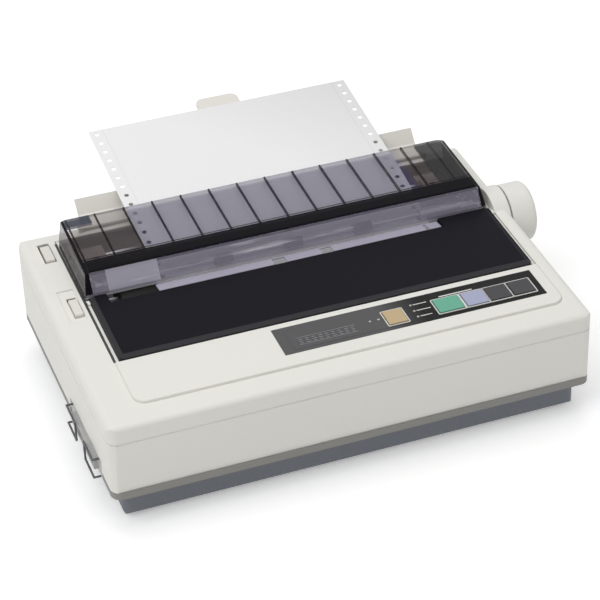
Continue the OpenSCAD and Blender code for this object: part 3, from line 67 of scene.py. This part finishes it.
def edgesOf(name):
    # Where a CAD node ends on each side
    xs, ys, zs = zip(*nodes[name].bound_box)
    return {"left": min(xs), "right": max(xs), "front": min(ys), "back": max(ys), "low": min(zs)}


# Small helpers for node trees
def newMaterial(name):
    mat = bpy.data.materials.new(name)
    mat.use_nodes = True
    tree = mat.node_tree
    return mat, tree, tree.nodes["Principled BSDF"]


def addNode(tree, kind, **values):
    node = tree.nodes.new(kind)
    for key, value in values.items():
        setattr(node, key, value)
    return node


def feed(tree, sockets, values):
    # Each value is a plain one, or the socket that it comes from
    for socket, value in zip(sockets, values):
        if isinstance(value, bpy.types.NodeSocket):
            tree.links.new(value, socket)
        else:
            socket.default_value = value


def calc(tree, operation, *values):
    node = addNode(tree, "ShaderNodeMath", operation=operation)
    feed(tree, node.inputs, values)
    return node.outputs[0]


def ramp(tree, value, start, end, low=0.0, high=1.0):
    # A value between start and end, spread from low to high and held beyond them
    node = addNode(tree, "ShaderNodeMapRange")
    feed(tree, node.inputs, (value, start, end, low, high))
    return node.outputs[0]


# A Mix node takes colours on sockets 6 and 7, and plain values on 2 and 3.
def mixColour(tree, mask, first, second, blend="MIX"):
    node = addNode(tree, "ShaderNodeMix", data_type="RGBA", blend_type=blend)
    feed(tree, (node.inputs[0], node.inputs[6], node.inputs[7]), (mask, first, second))
    return node.outputs[2]


def mixValue(tree, mask, first, second):
    node = addNode(tree, "ShaderNodeMix", data_type="FLOAT")
    feed(tree, (node.inputs[0], node.inputs[2], node.inputs[3]), (mask, first, second))
    return node.outputs[0]


def noise(tree, place, scale, detail):
    node = addNode(tree, "ShaderNodeTexNoise")
    feed(tree, (node.inputs[key] for key in ("Vector", "Scale", "Detail")), (place, scale, detail))
    return node.outputs["Fac"]


def ownPlace(tree):
    return tree.nodes.new("ShaderNodeTexCoord").outputs["Object"]


def stretched(tree, scale):
    # Own place with a scale for each axis
    node = addNode(tree, "ShaderNodeVectorMath", operation="MULTIPLY")
    feed(tree, node.inputs, (ownPlace(tree), scale))
    return node.outputs[0]


def axesOf(tree, vector):
    split = tree.nodes.new("ShaderNodeSeparateXYZ")
    tree.links.new(vector, split.inputs[0])
    return split.outputs


def colour(r, g, b):
    # A colour as it looks on screen, turned into a linear one
    linear = (c / 12.92 if c <= 0.04045 else ((c + 0.055) / 1.055) ** 2.4 for c in (r, g, b))
    return (*linear, 1)


def newGroup(name, inputs, outputs):
    group = bpy.data.node_groups.new(name, "ShaderNodeTree")
    for label, kind, value in inputs:
        socket = group.interface.new_socket(label, in_out="INPUT", socket_type=kind)
        socket.default_value = value
    for label, kind in outputs:
        group.interface.new_socket(label, in_out="OUTPUT", socket_type=kind)
    return group, group.nodes.new("NodeGroupInput").outputs, group.nodes.new("NodeGroupOutput").inputs


grainLooks = {
    "fineDetail": 3, "slowDetail": 4, "slowScale": 9,
    "edgeRadius": 0.0006, "edgeSamples": 4,
    "edgeStart": 0.995, "edgeFull": 0.9,   # cosines of the soft edge's lean
    "roughSpread": 0.16,
}


def mouldGrainGroup(s):
    # Fine spark-eroded grain of moulded plastic, with a slow change of tone and a painted highlight that
    # pales the edges
    group, given, result = newGroup("mouldGrain", [
        ("Colour", "NodeSocketColor", (0.8, 0.8, 0.8, 1)),
        ("Tone change", "NodeSocketFloat", 0.03),
        ("Grain scale", "NodeSocketFloat", 1400.0),
        ("Roughness", "NodeSocketFloat", 0.5),
        ("Edge highlight", "NodeSocketFloat", 0.05)],
        [("Colour", "NodeSocketColor"), ("Roughness", "NodeSocketFloat"), ("Height", "NodeSocketFloat"),
         ("Normal", "NodeSocketVector")])
    fine = noise(group, ownPlace(group), given["Grain scale"], s["fineDetail"])
    slow = noise(group, ownPlace(group), s["slowScale"], s["slowDetail"])
    change = calc(group, "MULTIPLY", calc(group, "SUBTRACT", slow, 0.5), given["Tone change"])
    # Edges look a little round, as moulded ones do, through the bevel normal, and get a painted highlight
    soft = addNode(group, "ShaderNodeBevel", samples=s["edgeSamples"])
    soft.inputs["Radius"].default_value = s["edgeRadius"]
    geometry = group.nodes.new("ShaderNodeNewGeometry")
    lean = addNode(group, "ShaderNodeVectorMath", operation="DOT_PRODUCT")
    feed(group, lean.inputs, (soft.outputs["Normal"], geometry.outputs["Normal"]))
    edge = ramp(group, lean.outputs["Value"], s["edgeStart"], s["edgeFull"])
    # Painted highlight on the edges, added to the slow change of tone
    lift = calc(group, "MULTIPLY_ADD", edge, given["Edge highlight"], change)
    tinted = addNode(group, "ShaderNodeHueSaturation")
    feed(group, (tinted.inputs["Color"], tinted.inputs["Value"]),
         (given["Colour"], calc(group, "ADD", lift, 1.0)))
    smoothest = calc(group, "SUBTRACT", given["Roughness"], s["roughSpread"] / 2)
    rough = calc(group, "MULTIPLY_ADD", fine, s["roughSpread"], smoothest)
    feed(group, result, (tinted.outputs[0], rough, fine, soft.outputs["Normal"]))
    return group


lineLooks = {"detail": 4, "roughSpread": 0.2, "toneShare": 0.18, "bump": 0.08, "bumpDepth": 0.0001}


def drawnLinesGroup(s):
    # Fine drawn lines along one axis of rolled or ground metal
    group, given, result = newGroup("drawnMetal", [
        ("Colour", "NodeSocketColor", (0.6, 0.6, 0.6, 1)),
        ("Line scale", "NodeSocketVector", (30.0, 900.0, 900.0)),
        ("Roughness", "NodeSocketFloat", 0.35)],
        [("Colour", "NodeSocketColor"), ("Roughness", "NodeSocketFloat"), ("Height", "NodeSocketFloat")])
    lines = noise(group, stretched(group, given["Line scale"]), 1, s["detail"])
    rough = calc(group, "MULTIPLY_ADD", lines, s["roughSpread"], given["Roughness"])
    tone = mixColour(group, s["toneShare"], given["Colour"], lines, "MULTIPLY")
    feed(group, result, (tone, rough, lines))
    return group


grainGroup = mouldGrainGroup(grainLooks)
linesGroup = drawnLinesGroup(lineLooks)
print("shared effects built")


def addBump(tree, shader, height, strength, depth, normal=None):
    bump = addNode(tree, "ShaderNodeBump")
    feed(tree, (bump.inputs[key] for key in ("Strength", "Distance", "Height")), (strength, depth, height))
    if normal:
        tree.links.new(normal, bump.inputs["Normal"])
    tree.links.new(bump.outputs["Normal"], shader.inputs["Normal"])


def addGrain(tree, shader, tone, roughness, grain=1400, bump=0.12, depth=0.0002, toneChange=0.03,
             edgeHighlight=0.04):
    # The tone is a plain colour, or the socket of one that changes over the surface
    node = addNode(tree, "ShaderNodeGroup", node_tree=grainGroup)
    feed(tree, node.inputs, (tone, toneChange, grain, roughness, edgeHighlight))
    tree.links.new(node.outputs["Colour"], shader.inputs["Base Color"])
    tree.links.new(node.outputs["Roughness"], shader.inputs["Roughness"])
    addBump(tree, shader, node.outputs["Height"], bump, depth, node.outputs["Normal"])


def mouldedPlastic(name, tone, roughness=0.5, **looks):
    mat, tree, shader = newMaterial(name)
    addGrain(tree, shader, colour(*tone), roughness, **looks)
    return mat


def drawnMetal(name, tone, roughness=0.3, lines=(30, 900, 900)):
    mat, tree, shader = newMaterial(name)
    node = addNode(tree, "ShaderNodeGroup", node_tree=linesGroup)
    feed(tree, node.inputs, (colour(*tone), lines, roughness))
    shader.inputs["Metallic"].default_value = 1.0
    tree.links.new(node.outputs["Colour"], shader.inputs["Base Color"])
    tree.links.new(node.outputs["Roughness"], shader.inputs["Roughness"])
    addBump(tree, shader, node.outputs["Height"], lineLooks["bump"], lineLooks["bumpDepth"])
    return mat


lidLooks = {
    "tone": (0.075, 0.07, 0.10), "alpha": 0.96, "gloss": 0.05,
    "lipTone": (0.22, 0.22, 0.23), "lipBlend": 0.0004,
    "lipFront": 0.00477, "lipLeft": 0.0066,   # widths from the lid's own edges
    "roughness": 0.32, "grain": 900, "bump": 0.02, "bumpDepth": 0.0001, "edgeHighlight": 0.3,
}


def smokedLid(s):
    # Near-black lid whose front lip and left border catch the light
    mat, tree, shader = newMaterial("smokedLid")
    place = axesOf(tree, ownPlace(tree))
    lid = edgesOf("front_lid")
    borders = (("Y", lid["front"] + s["lipFront"]), ("X", lid["left"] + s["lipLeft"]))
    front, left = (ramp(tree, place[axis], border + s["lipBlend"], border - s["lipBlend"])
                   for axis, border in borders)
    tone = mixColour(tree, calc(tree, "MAXIMUM", front, left), colour(*s["tone"]), colour(*s["lipTone"]))
    addGrain(tree, shader, tone, s["roughness"], s["grain"], s["bump"], s["bumpDepth"],
             edgeHighlight=s["edgeHighlight"])
    shader.inputs["Alpha"].default_value = s["alpha"]
    shader.inputs["Specular IOR Level"].default_value = s["gloss"]
    return mat


coverLooks = {
    # Tone and opacity of each area, from the window to what is laid over it
    "window": ((0.27, 0.23, 0.42), 0.27),
    "beyondSheet": ((0.33, 0.285, 0.30), 0.27),
    "corner": ((0.13, 0.16, 0.25), 0.8),
    # Painted shade: the window's right end is darker where the parts under it lie in shadow
    "rightEndShade": ((0.10, 0.09, 0.10), 0.8),
    "riser": ((0.60, 0.58, 0.65), 0.40),
    "block": ((0.72, 0.71, 0.77), 0.66),
    # Painted glints on the riser, and a painted highlight along its lower edge
    "riserGlint": ((0.93, 0.93, 0.95), 0.6),
    "side": ((0.43, 0.41, 0.42), 0.5),
    "rib": ((0.06, 0.055, 0.075), 0.88),
    "bar": ((0.06, 0.055, 0.075), 0.97),

    # Places, measured inwards from the cover's own edges
    "cornerWidth": 0.030, "cornerDepth": 0.012,            # the left corner at the back
    "rightEndShadeWidth": 0.0305,
    "blockMiddle": 0.043, "blockHalf": 0.022,              # a paler block near the riser's left end
    "footHighlightHeight": 0.00246,                                 # painted highlight along the riser's lower edge
    "ribFirst": 0.035, "ribPitch": 0.0253, "ribHalf": 0.00055, "ribFront": 0.0255,
    "barFront": 0.0101, "barBack": 0.0257, "lineAway": 0.0026,   # the dark bar, and a line behind it
    "seamLeft": 0.0073, "seamRight": 0.0045,
    "sheetAway": 0.00085,                                  # outwards from the sheet's edges
    # Painted glints on the riser, drawn from stretched noise
    "glintScale": (16.0, 1.0, 330.0), "glintDetail": 2, "glintFrom": 0.6, "glintFull": 0.78,
    "flatShare": 0.5, "wallShare": 0.65,                   # how squarely a face looks along an axis
    "roughness": 0.2, "grain": 260, "bump": 0.02, "edgeHighlight": 0.05,
    "gloss": 0.25, "darkGloss": 0.04,
}


def smokedCover(s):
    # One moulding: dark window with darker ribs, clearer riser and side walls, told apart by the way
    # each wall faces and by places on X, Y and Z
    # Painted glints and a painted highlight on the riser's lower edge, and painted shade over the window's
    # right end
    mat, tree, shader = newMaterial("smokedCover")
    place = axesOf(tree, ownPlace(tree))
    facing = axesOf(tree, tree.nodes.new("ShaderNodeTexCoord").outputs["Normal"])
    cover, sheet = edgesOf("rear_cover"), edgesOf("paper")

    def over(value, limit):
        return calc(tree, "GREATER_THAN", value, limit)

    def under(value, limit):
        return calc(tree, "LESS_THAN", value, limit)

    def both(first, second):
        return calc(tree, "MULTIPLY", first, second)

    def anyOf(first, *others):
        for other in others:
            first = calc(tree, "MAXIMUM", first, other)
        return first

    def away(axis, middle):
        return calc(tree, "ABSOLUTE", calc(tree, "SUBTRACT", place[axis], middle))

    def looksAlong(axis, share):
        return over(calc(tree, "ABSOLUTE", facing[axis]), share)

    firstRib = cover["left"] + s["ribFirst"]
    steps = calc(tree, "DIVIDE", calc(tree, "SUBTRACT", place["X"], firstRib), s["ribPitch"])
    offset = calc(tree, "ABSOLUTE", calc(tree, "SUBTRACT", steps, calc(tree, "ROUND", steps)))
    rib = both(under(offset, s["ribHalf"] / s["ribPitch"]),
               over(place["Y"], cover["front"] + s["ribFront"]))
    flat = looksAlong("Z", s["flatShare"])
    riser = looksAlong("Y", s["wallShare"])
    barBack = cover["front"] + s["barBack"]
    bar = both(anyOf(both(over(place["Y"], cover["front"] + s["barFront"]), under(place["Y"], barBack)),
                     under(away("Y", barBack + s["lineAway"]), s["ribHalf"]),
                     under(place["X"], cover["left"] + s["seamLeft"]),
                     over(place["X"], cover["right"] - s["seamRight"])), flat)
    corner = both(under(place["X"], cover["left"] + s["cornerWidth"]),
                  over(place["Y"], cover["back"] - s["cornerDepth"]))
    # Painted glints on the riser, and a painted highlight along its lower edge
    glints = ramp(tree, noise(tree, stretched(tree, s["glintScale"]), 1, s["glintDetail"]),
                  s["glintFrom"], s["glintFull"])
    footHighlight = under(place["Z"], cover["low"] + s["footHighlightHeight"])
    areas = {
        "beyondSheet": over(away("X", (sheet["left"] + sheet["right"]) / 2),
                            (sheet["right"] - sheet["left"]) / 2 + s["sheetAway"]),
        "corner": both(corner, flat),
        # Painted shade over the window's right end
        "rightEndShade": both(over(place["X"], cover["right"] - s["rightEndShadeWidth"]), flat),
        "riser": riser,
        "block": both(under(away("X", cover["left"] + s["blockMiddle"]), s["blockHalf"]), riser),
        "riserGlint": both(anyOf(glints, footHighlight), riser),
        "side": both(looksAlong("X", s["wallShare"]), calc(tree, "SUBTRACT", 1.0, rib)),
        "rib": rib,
        "bar": bar,
    }
    windowTone, clear = s["window"]
    tone = colour(*windowTone)
    for area, mask in areas.items():
        areaTone, areaAlpha = s[area]
        tone = mixColour(tree, mask, tone, colour(*areaTone))
        clear = mixValue(tree, mask, clear, areaAlpha)
    addGrain(tree, shader, tone, s["roughness"], s["grain"], s["bump"], edgeHighlight=s["edgeHighlight"])
    gloss = mixValue(tree, anyOf(rib, bar), s["gloss"], s["darkGloss"])
    feed(tree, (shader.inputs["Alpha"], shader.inputs["Specular IOR Level"]), (clear, gloss))
    return mat


baseLooks = {"tub": (0.45, 0.47, 0.50), "ledge": (0.55, 0.545, 0.53), "ledgeLow": 0.0284,
             "roughness": 0.6, "bump": 0.2}


def baseGrey(s):
    # Blue-grey tub under a slightly warmer ledge
    mat, tree, shader = newMaterial("baseGrey")
    onLedge = calc(tree, "GREATER_THAN", axesOf(tree, ownPlace(tree))["Z"], s["ledgeLow"])
    tone = mixColour(tree, onLedge, colour(*s["tub"]), colour(*s["ledge"]))
    addGrain(tree, shader, tone, s["roughness"], bump=s["bump"])
    return mat


paperLooks = {
    "perforation": 0.01275,   # in from the sheet's side edges
    "lineHalf": 0.00018, "lineShade": 0.13,
    "fibreScale": 700, "fibreDetail": 5, "darkest": 0.87, "palest": 0.91,
    "roughness": 0.85, "bump": 0.1, "bumpDepth": 0.0001,
    "farShade": 0.13, "shadeFrom": 0.12, "shadeTo": 0.30,   # grows along X + Y, to the far right
}


def paperSheet(s):
    # White paper with faint fibres and a fine perforated line inside each feed strip
    mat, tree, shader = newMaterial("continuousPaper")
    place = axesOf(tree, ownPlace(tree))
    sheet = edgesOf("paper")
    middle, half = (sheet["left"] + sheet["right"]) / 2, (sheet["right"] - sheet["left"]) / 2
    fibre = noise(tree, ownPlace(tree), s["fibreScale"], s["fibreDetail"])
    fromMiddle = calc(tree, "ABSOLUTE", calc(tree, "SUBTRACT", place["X"], middle))
    fromLine = calc(tree, "ABSOLUTE", calc(tree, "SUBTRACT", fromMiddle, half - s["perforation"]))
    line = calc(tree, "MULTIPLY", calc(tree, "LESS_THAN", fromLine, s["lineHalf"]), s["lineShade"])
    plain = ramp(tree, fibre, 0.0, 1.0, s["darkest"], s["palest"])
    shade = ramp(tree, calc(tree, "ADD", place["X"], place["Y"]), s["shadeFrom"], s["shadeTo"],
                 0.0, s["farShade"])
    white = calc(tree, "SUBTRACT", calc(tree, "SUBTRACT", plain, line), shade)
    grey = tree.nodes.new("ShaderNodeCombineColor")
    feed(tree, grey.inputs, (white, white, white))
    tree.links.new(grey.outputs[0], shader.inputs["Base Color"])
    shader.inputs["Roughness"].default_value = s["roughness"]
    addBump(tree, shader, fibre, s["bump"], s["bumpDepth"])
    return mat


filmLooks = {
    # The left tone is a painted reflection; the right tone is the film's own black
    "left": (0.345, 0.345, 0.35), "right": (0.075, 0.075, 0.08),
    "turnFrom": 0.086, "turnTo": 0.122,   # from the panel's left edge
    "roughness": 0.38, "grain": 2500, "bump": 0.04, "gloss": 0.12,
}


def panelFilm(s):
    # Black printed film; the dark grey at its left is a painted reflection that fades into the film's own
    # black round the keys
    mat, tree, shader = newMaterial("panelFilm")
    start = edgesOf("control_panel")["left"]
    along = ramp(tree, axesOf(tree, ownPlace(tree))["X"], start + s["turnFrom"], start + s["turnTo"])
    tone = mixColour(tree, along, colour(*s["left"]), colour(*s["right"]))
    addGrain(tree, shader, tone, s["roughness"], s["grain"], s["bump"])
    shader.inputs["Specular IOR Level"].default_value = s["gloss"]
    return mat


stripLooks = {"tone": (0.74, 0.72, 0.79), "alpha": 0.72, "roughness": 0.25, "bump": 0.02}


def clearStrip(s):
    # See-through tear strip
    mat = mouldedPlastic("clearStrip", s["tone"], s["roughness"], bump=s["bump"])
    mat.node_tree.nodes["Principled BSDF"].inputs["Alpha"].default_value = s["alpha"]
    return mat


finishes = {
    "casing": mouldedPlastic("casingWhite", (0.915, 0.91, 0.885), 0.55),
    "base": baseGrey(baseLooks),
    "light": mouldedPlastic("lightPlastic", (0.89, 0.88, 0.85), bump=0.06),
    "black": mouldedPlastic("blackPlastic", (0.13, 0.13, 0.14)),
    "panel": panelFilm(filmLooks),
    "tan": mouldedPlastic("keyTan", (0.75, 0.66, 0.50), 0.45),
    "green": mouldedPlastic("keyGreen", (0.37, 0.665, 0.56), 0.45),
    "lavender": mouldedPlastic("keyLavender", (0.64, 0.66, 0.765), 0.45),
    "keyBlack": mouldedPlastic("keyBlack", (0.13, 0.13, 0.15), 0.45),
    "printWhite": mouldedPlastic("printWhite", (0.88, 0.88, 0.86), bump=0.03),
    "printGrey": mouldedPlastic("printGrey", (0.62, 0.62, 0.63), bump=0.03),
    "lamp": mouldedPlastic("lampLens", (0.72, 0.73, 0.70), 0.2),
    "board": mouldedPlastic("circuitBoard", (0.12, 0.34, 0.22), 0.4, grain=500, toneChange=0.2),
    "rubber": mouldedPlastic("blackRubber", (0.12, 0.12, 0.12), 0.75, grain=2200, bump=0.3),
    "clear": clearStrip(stripLooks),
    "socket": mouldedPlastic("socketShell", (0.74, 0.74, 0.735)),
    "tractor": mouldedPlastic("tractorPlastic", (0.50, 0.455, 0.45), 0.45),
    "steel": drawnMetal("groundSteel", (0.72, 0.72, 0.73), 0.22, (900, 40, 40)),
    "wire": drawnMetal("springWire", (0.42, 0.42, 0.43), 0.4, (300, 300, 300)),
    "sheet": drawnMetal("zincSheet", (0.6, 0.6, 0.61), 0.38),
    "brass": drawnMetal("brass", (0.78, 0.66, 0.4)),
    "alloy": drawnMetal("darkAlloy", (0.4, 0.4, 0.42), 0.45),
    "lid": smokedLid(lidLooks),
    "cover": smokedCover(coverLooks),
    "paper": paperSheet(paperLooks),
}

finishOfNode = {
    "casing": ["upper_housing", "control_deck", "platen_knob"],
    "base": ["base_pan"],
    "light": ["sheet_guide", "release_lever", "gap_lever", "platen_gear", "idler_gear", "reduction_gear",
              "drive_pulley", "return_pulley"],
    "black": ["sprocket_left", "sprocket_right", "carriage", "ribbon_cartridge", "ribbon_knob",
              "platen_bushes", "power_inlet", "power_switch", "power_rocker", "carriage_belt"],
    "panel": ["control_panel"],
    "tan": ["button_one"],
    "green": ["button_two"],
    "lavender": ["button_three"],
    "keyBlack": ["button_four", "button_five"],
    "lamp": ["indicator_lights"],
    "board": ["panel_board", "main_board", "power_supply"],
    "rubber": ["platen", "bail_rollers", "rubber_feet"],
    "clear": ["tear_strip"],
    "socket": ["parallel_connector"],
    "tractor": ["tractor_left", "tractor_right", "tractor_door_left", "tractor_door_right"],
    "steel": ["platen_shaft", "guide_rod", "tractor_shaft", "tractor_rail", "paper_bail", "case_screws"],
    "wire": ["connector_bail_front", "connector_bail_rear"],
    "sheet": ["side_frame_left", "side_frame_right", "frame_stays", "paper_pan", "feed_motor",
              "carriage_motor"],
    "brass": ["feed_pinion"],
    "alloy": ["print_head"],
    "lid": ["front_lid"],
    "cover": ["rear_cover"],
    "paper": ["paper"],
}


def dressNodes():
    for finish, names in finishOfNode.items():
        for name in names:
            obj = nodes[name]
            obj.data.materials.clear()
            obj.data.materials.append(finishes[finish])


dressNodes()
print("materials placed")

# The housing's top climbs 6 mm over its depth of 275 mm, and middle is the frame's origin, seen from the
# housing's front left corner.
housingTop = {"slope": math.atan(6 / 275), "frontHeight": 0.097, "middle": (0.2125, 0.1945)}


def onTop(x, y, h):
    # From millimetres along and over the sloping top to the frame's metres
    a = housingTop["slope"]
    mx, my = housingTop["middle"]
    return Vector((x / 1000 - mx, (y * math.cos(a) - h * math.sin(a)) / 1000 - my,
                   housingTop["frontHeight"] + (y * math.sin(a) + h * math.cos(a)) / 1000))


def newPiece(name, build, body, finish):
    mesh = bpy.data.meshes.new(name)
    bm = bmesh.new()
    build(bm)
    bmesh.ops.recalc_face_normals(bm, faces=bm.faces)
    bm.to_mesh(mesh)
    bm.free()
    mesh.materials.append(finish)
    obj = bpy.data.objects.new(name, mesh)
    bpy.context.scene.collection.objects.link(obj)
    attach(obj, body)


def roundedRing(bm, x0, y0, x1, y1, h, corner, steps=4):
    # Points of a rectangle with round corners, at one height over the top
    ring = []
    for cx, cy, start in ((x1 - corner, y1 - corner, 0), (x0 + corner, y1 - corner, 90),
                          (x0 + corner, y0 + corner, 180), (x1 - corner, y0 + corner, 270)):
        for i in range(steps + 1):
            a = math.radians(start + 90 * i / steps)
            ring.append(bm.verts.new(onTop(cx + corner * math.cos(a), cy + corner * math.sin(a), h)))
    return ring


def joinRings(bm, first, second):
    for i in range(len(first)):
        j = (i + 1) % len(first)
        bm.faces.new((first[i], first[j], second[j], second[i]))


def addPlate(bm, x0, y0, x1, y1, low, high, corner, steps=4):
    # Thin plate on the sloping top, with round corners
    lower, upper = (roundedRing(bm, x0, y0, x1, y1, h, corner, steps) for h in (low, high))
    bm.faces.new(upper)
    bm.faces.new(lower[::-1])
    joinRings(bm, lower, upper)


def addFrame(bm, x0, y0, x1, y1, width, low, high, corner=1.0, least=0.25):
    # Flat ring round a key
    rings = []
    for inset, heights in ((0, (low, high)), (width, (high, low))):
        for h in heights:
            rings.append(roundedRing(bm, x0 + inset, y0 + inset, x1 - inset, y1 - inset, h,
                                     max(corner - inset, least)))
    for first, second in zip(rings, rings[1:] + rings[:1]):
        joinRings(bm, first, second)


# Millimetres on the housing's top: x from its left side, y from its front, heights over the top.
panelPrint = {
    "left": 156.5, "front": 37.5, "face": 2.0,   # the panel's corner, and its face
    "keys": ((90.0, 16.0), (133.5, 21.5), (158.0, 18.5), (178.0, 18.5), (199.0, 18.5)),   # start and width
    "keyFront": 5.7, "keyDepth": 17.8,
    "frameAway": 1.5, "frameWidth": 0.9, "frameSink": 0.1, "frameHigh": 0.62,
    "tableRows": 3, "tableColumns": 9, "tableStart": (16.0, 9.6), "tablePitch": (5.5, 2.6),
    "strokeWidth": 0.55, "shortStroke": 2.4, "strokeSpread": 1.1, "strokeCorner": 0.2, "cornerSteps": 2,
    "rules": (8.0, 17.4), "ruleStart": 14.5, "ruleEnd": 64.5, "ruleWidth": 0.35, "ruleCorner": 0.12,
    "tableLow": 0.15, "tableHigh": 0.26,   # over the face, on the grey field that stands 0.2 above it
    "markLow": -0.05, "markHigh": 0.08, "markCorner": 0.5,   # over the face
    "lampMarks": ((273.9, 46.2, 10.5), (273.9, 54.2, 12.5), (273.9, 62.4, 11.8)), "lampMarkHalf": 0.5,
    "longMark": (297.5, 64.2, 326.7, 65.6),
}

# In the same millimetres.
# Painted shadow in the gap between the left strip and the covers, as a thin black plate
stripGapShadow = {"box": (28.9, 80.0, 30.9, 258.0), "low": -0.05, "high": 0.07, "corner": 0.3}


def buildPanelPrint(s):
    x0, y0, face = s["left"], s["front"], s["face"]

    def frames(bm):
        low, high = face - s["frameSink"], face + s["frameHigh"]
        for start, width in s["keys"]:
            keyX, keyY = x0 + start, y0 + s["keyFront"]
            addFrame(bm, keyX - s["frameAway"], keyY - s["frameAway"], keyX + width + s["frameAway"],
                     keyY + s["keyDepth"] + s["frameAway"], s["frameWidth"], low, high)

    def table(bm):
        # A generic ruled table: short strokes in rows, with two rules
        low, high = face + s["tableLow"], face + s["tableHigh"]
        for row in range(s["tableRows"]):
            for column in range(s["tableColumns"]):
                size = (row * 5 + column * 3) % 4   # four lengths, mixed
                length = s["shortStroke"] + s["strokeSpread"] * size / 3
                cx = x0 + s["tableStart"][0] + column * s["tablePitch"][0]
                cy = y0 + s["tableStart"][1] + row * s["tablePitch"][1]
                addPlate(bm, cx, cy, cx + length, cy + s["strokeWidth"], low, high, s["strokeCorner"],
                         s["cornerSteps"])
        for rule in s["rules"]:
            addPlate(bm, x0 + s["ruleStart"], y0 + rule, x0 + s["ruleEnd"], y0 + rule + s["ruleWidth"],
                     low, high, s["ruleCorner"], s["cornerSteps"])

    def marks(bm):
        low, high = face + s["markLow"], face + s["markHigh"]
        addPlate(bm, *s["longMark"], low, high, s["markCorner"])
        for x, y, length in s["lampMarks"]:
            addPlate(bm, x, y - s["lampMarkHalf"], x + length, y + s["lampMarkHalf"], low, high,
                     s["markCorner"])

    newPiece("keyFrames", frames, "base", finishes["printWhite"])
    newPiece("panelTable", table, "base", finishes["printGrey"])
    newPiece("panelMarks", marks, "base", finishes["printWhite"])


def buildStripGapShadow(s):
    # Thin black plate as painted shadow in the gap between the left strip and the covers
    def plate(bm):
        addPlate(bm, *s["box"], s["low"], s["high"], s["corner"])

    newPiece("stripGapShadow", plate, "base", finishes["black"])


buildStripGapShadow(stripGapShadow)
buildPanelPrint(panelPrint)
print("panel print built")


studio = {
    "key": {"place": (-1.6, -0.8, 2.2), "size": 1.6, "power": 26},
    "fill": {"place": (1.6, -1.6, 1.4), "size": 1.8, "power": 4.5},
    "top": {"place": (0.1, 0.6, 2.4), "size": 2.2, "power": 22},
    "aim": (0, 0, 0.05), "world": 0.35,
    "floorHalf": 6, "floorTone": 0.93, "floorGlow": 0.3, "floorRoughness": 0.9,
}


def seenDirectly(tree):
    # 1 for what the camera, metal and glass show, 0 for what only lights the object
    path = tree.nodes.new("ShaderNodeLightPath").outputs
    seen = calc(tree, "MAXIMUM", path["Is Camera Ray"], path["Is Glossy Ray"])
    return calc(tree, "MAXIMUM", seen, path["Is Transmission Ray"])


def addLamp(name, lamp, aim):
    light = bpy.data.lights.new(name, "AREA")
    light.energy = lamp["power"]
    light.size = lamp["size"]
    obj = bpy.data.objects.new(name, light)
    obj.location = lamp["place"]
    obj.rotation_euler = (Vector(aim) - obj.location).to_track_quat("-Z", "Y").to_euler()
    bpy.context.scene.collection.objects.link(obj)


def buildWorld(s):
    world = bpy.data.worlds.new("studio")
    bpy.context.scene.world = world
    world.use_nodes = True
    tree = world.node_tree
    back = tree.nodes["Background"]
    tree.links.new(mixValue(tree, seenDirectly(tree), s["world"], 1.0), back.inputs["Strength"])
    back.inputs["Color"].default_value = (1, 1, 1, 1)


def buildFloor(s):
    half = s["floorHalf"]
    mesh = bpy.data.meshes.new("floor")
    mesh.from_pydata([(-half, -half, 0), (half, -half, 0), (half, half, 0), (-half, half, 0)], [],
                     [(0, 1, 2, 3)])
    floor = bpy.data.objects.new("floor", mesh)
    bpy.context.scene.collection.objects.link(floor)
    mat, tree, shader = newMaterial("paleFloor")
    shader.inputs["Base Color"].default_value = (s["floorTone"],) * 3 + (1,)
    shader.inputs["Roughness"].default_value = s["floorRoughness"]
    shader.inputs["Emission Color"].default_value = (s["floorGlow"],) * 3 + (1,)
    tree.links.new(seenDirectly(tree), shader.inputs["Emission Strength"])
    mesh.materials.append(mat)


for lampName in ("key", "fill", "top"):
    addLamp(lampName, studio[lampName], studio["aim"])
buildWorld(studio)
buildFloor(studio)
bpy.context.scene.view_settings.view_transform = "Standard"
print("studio built")
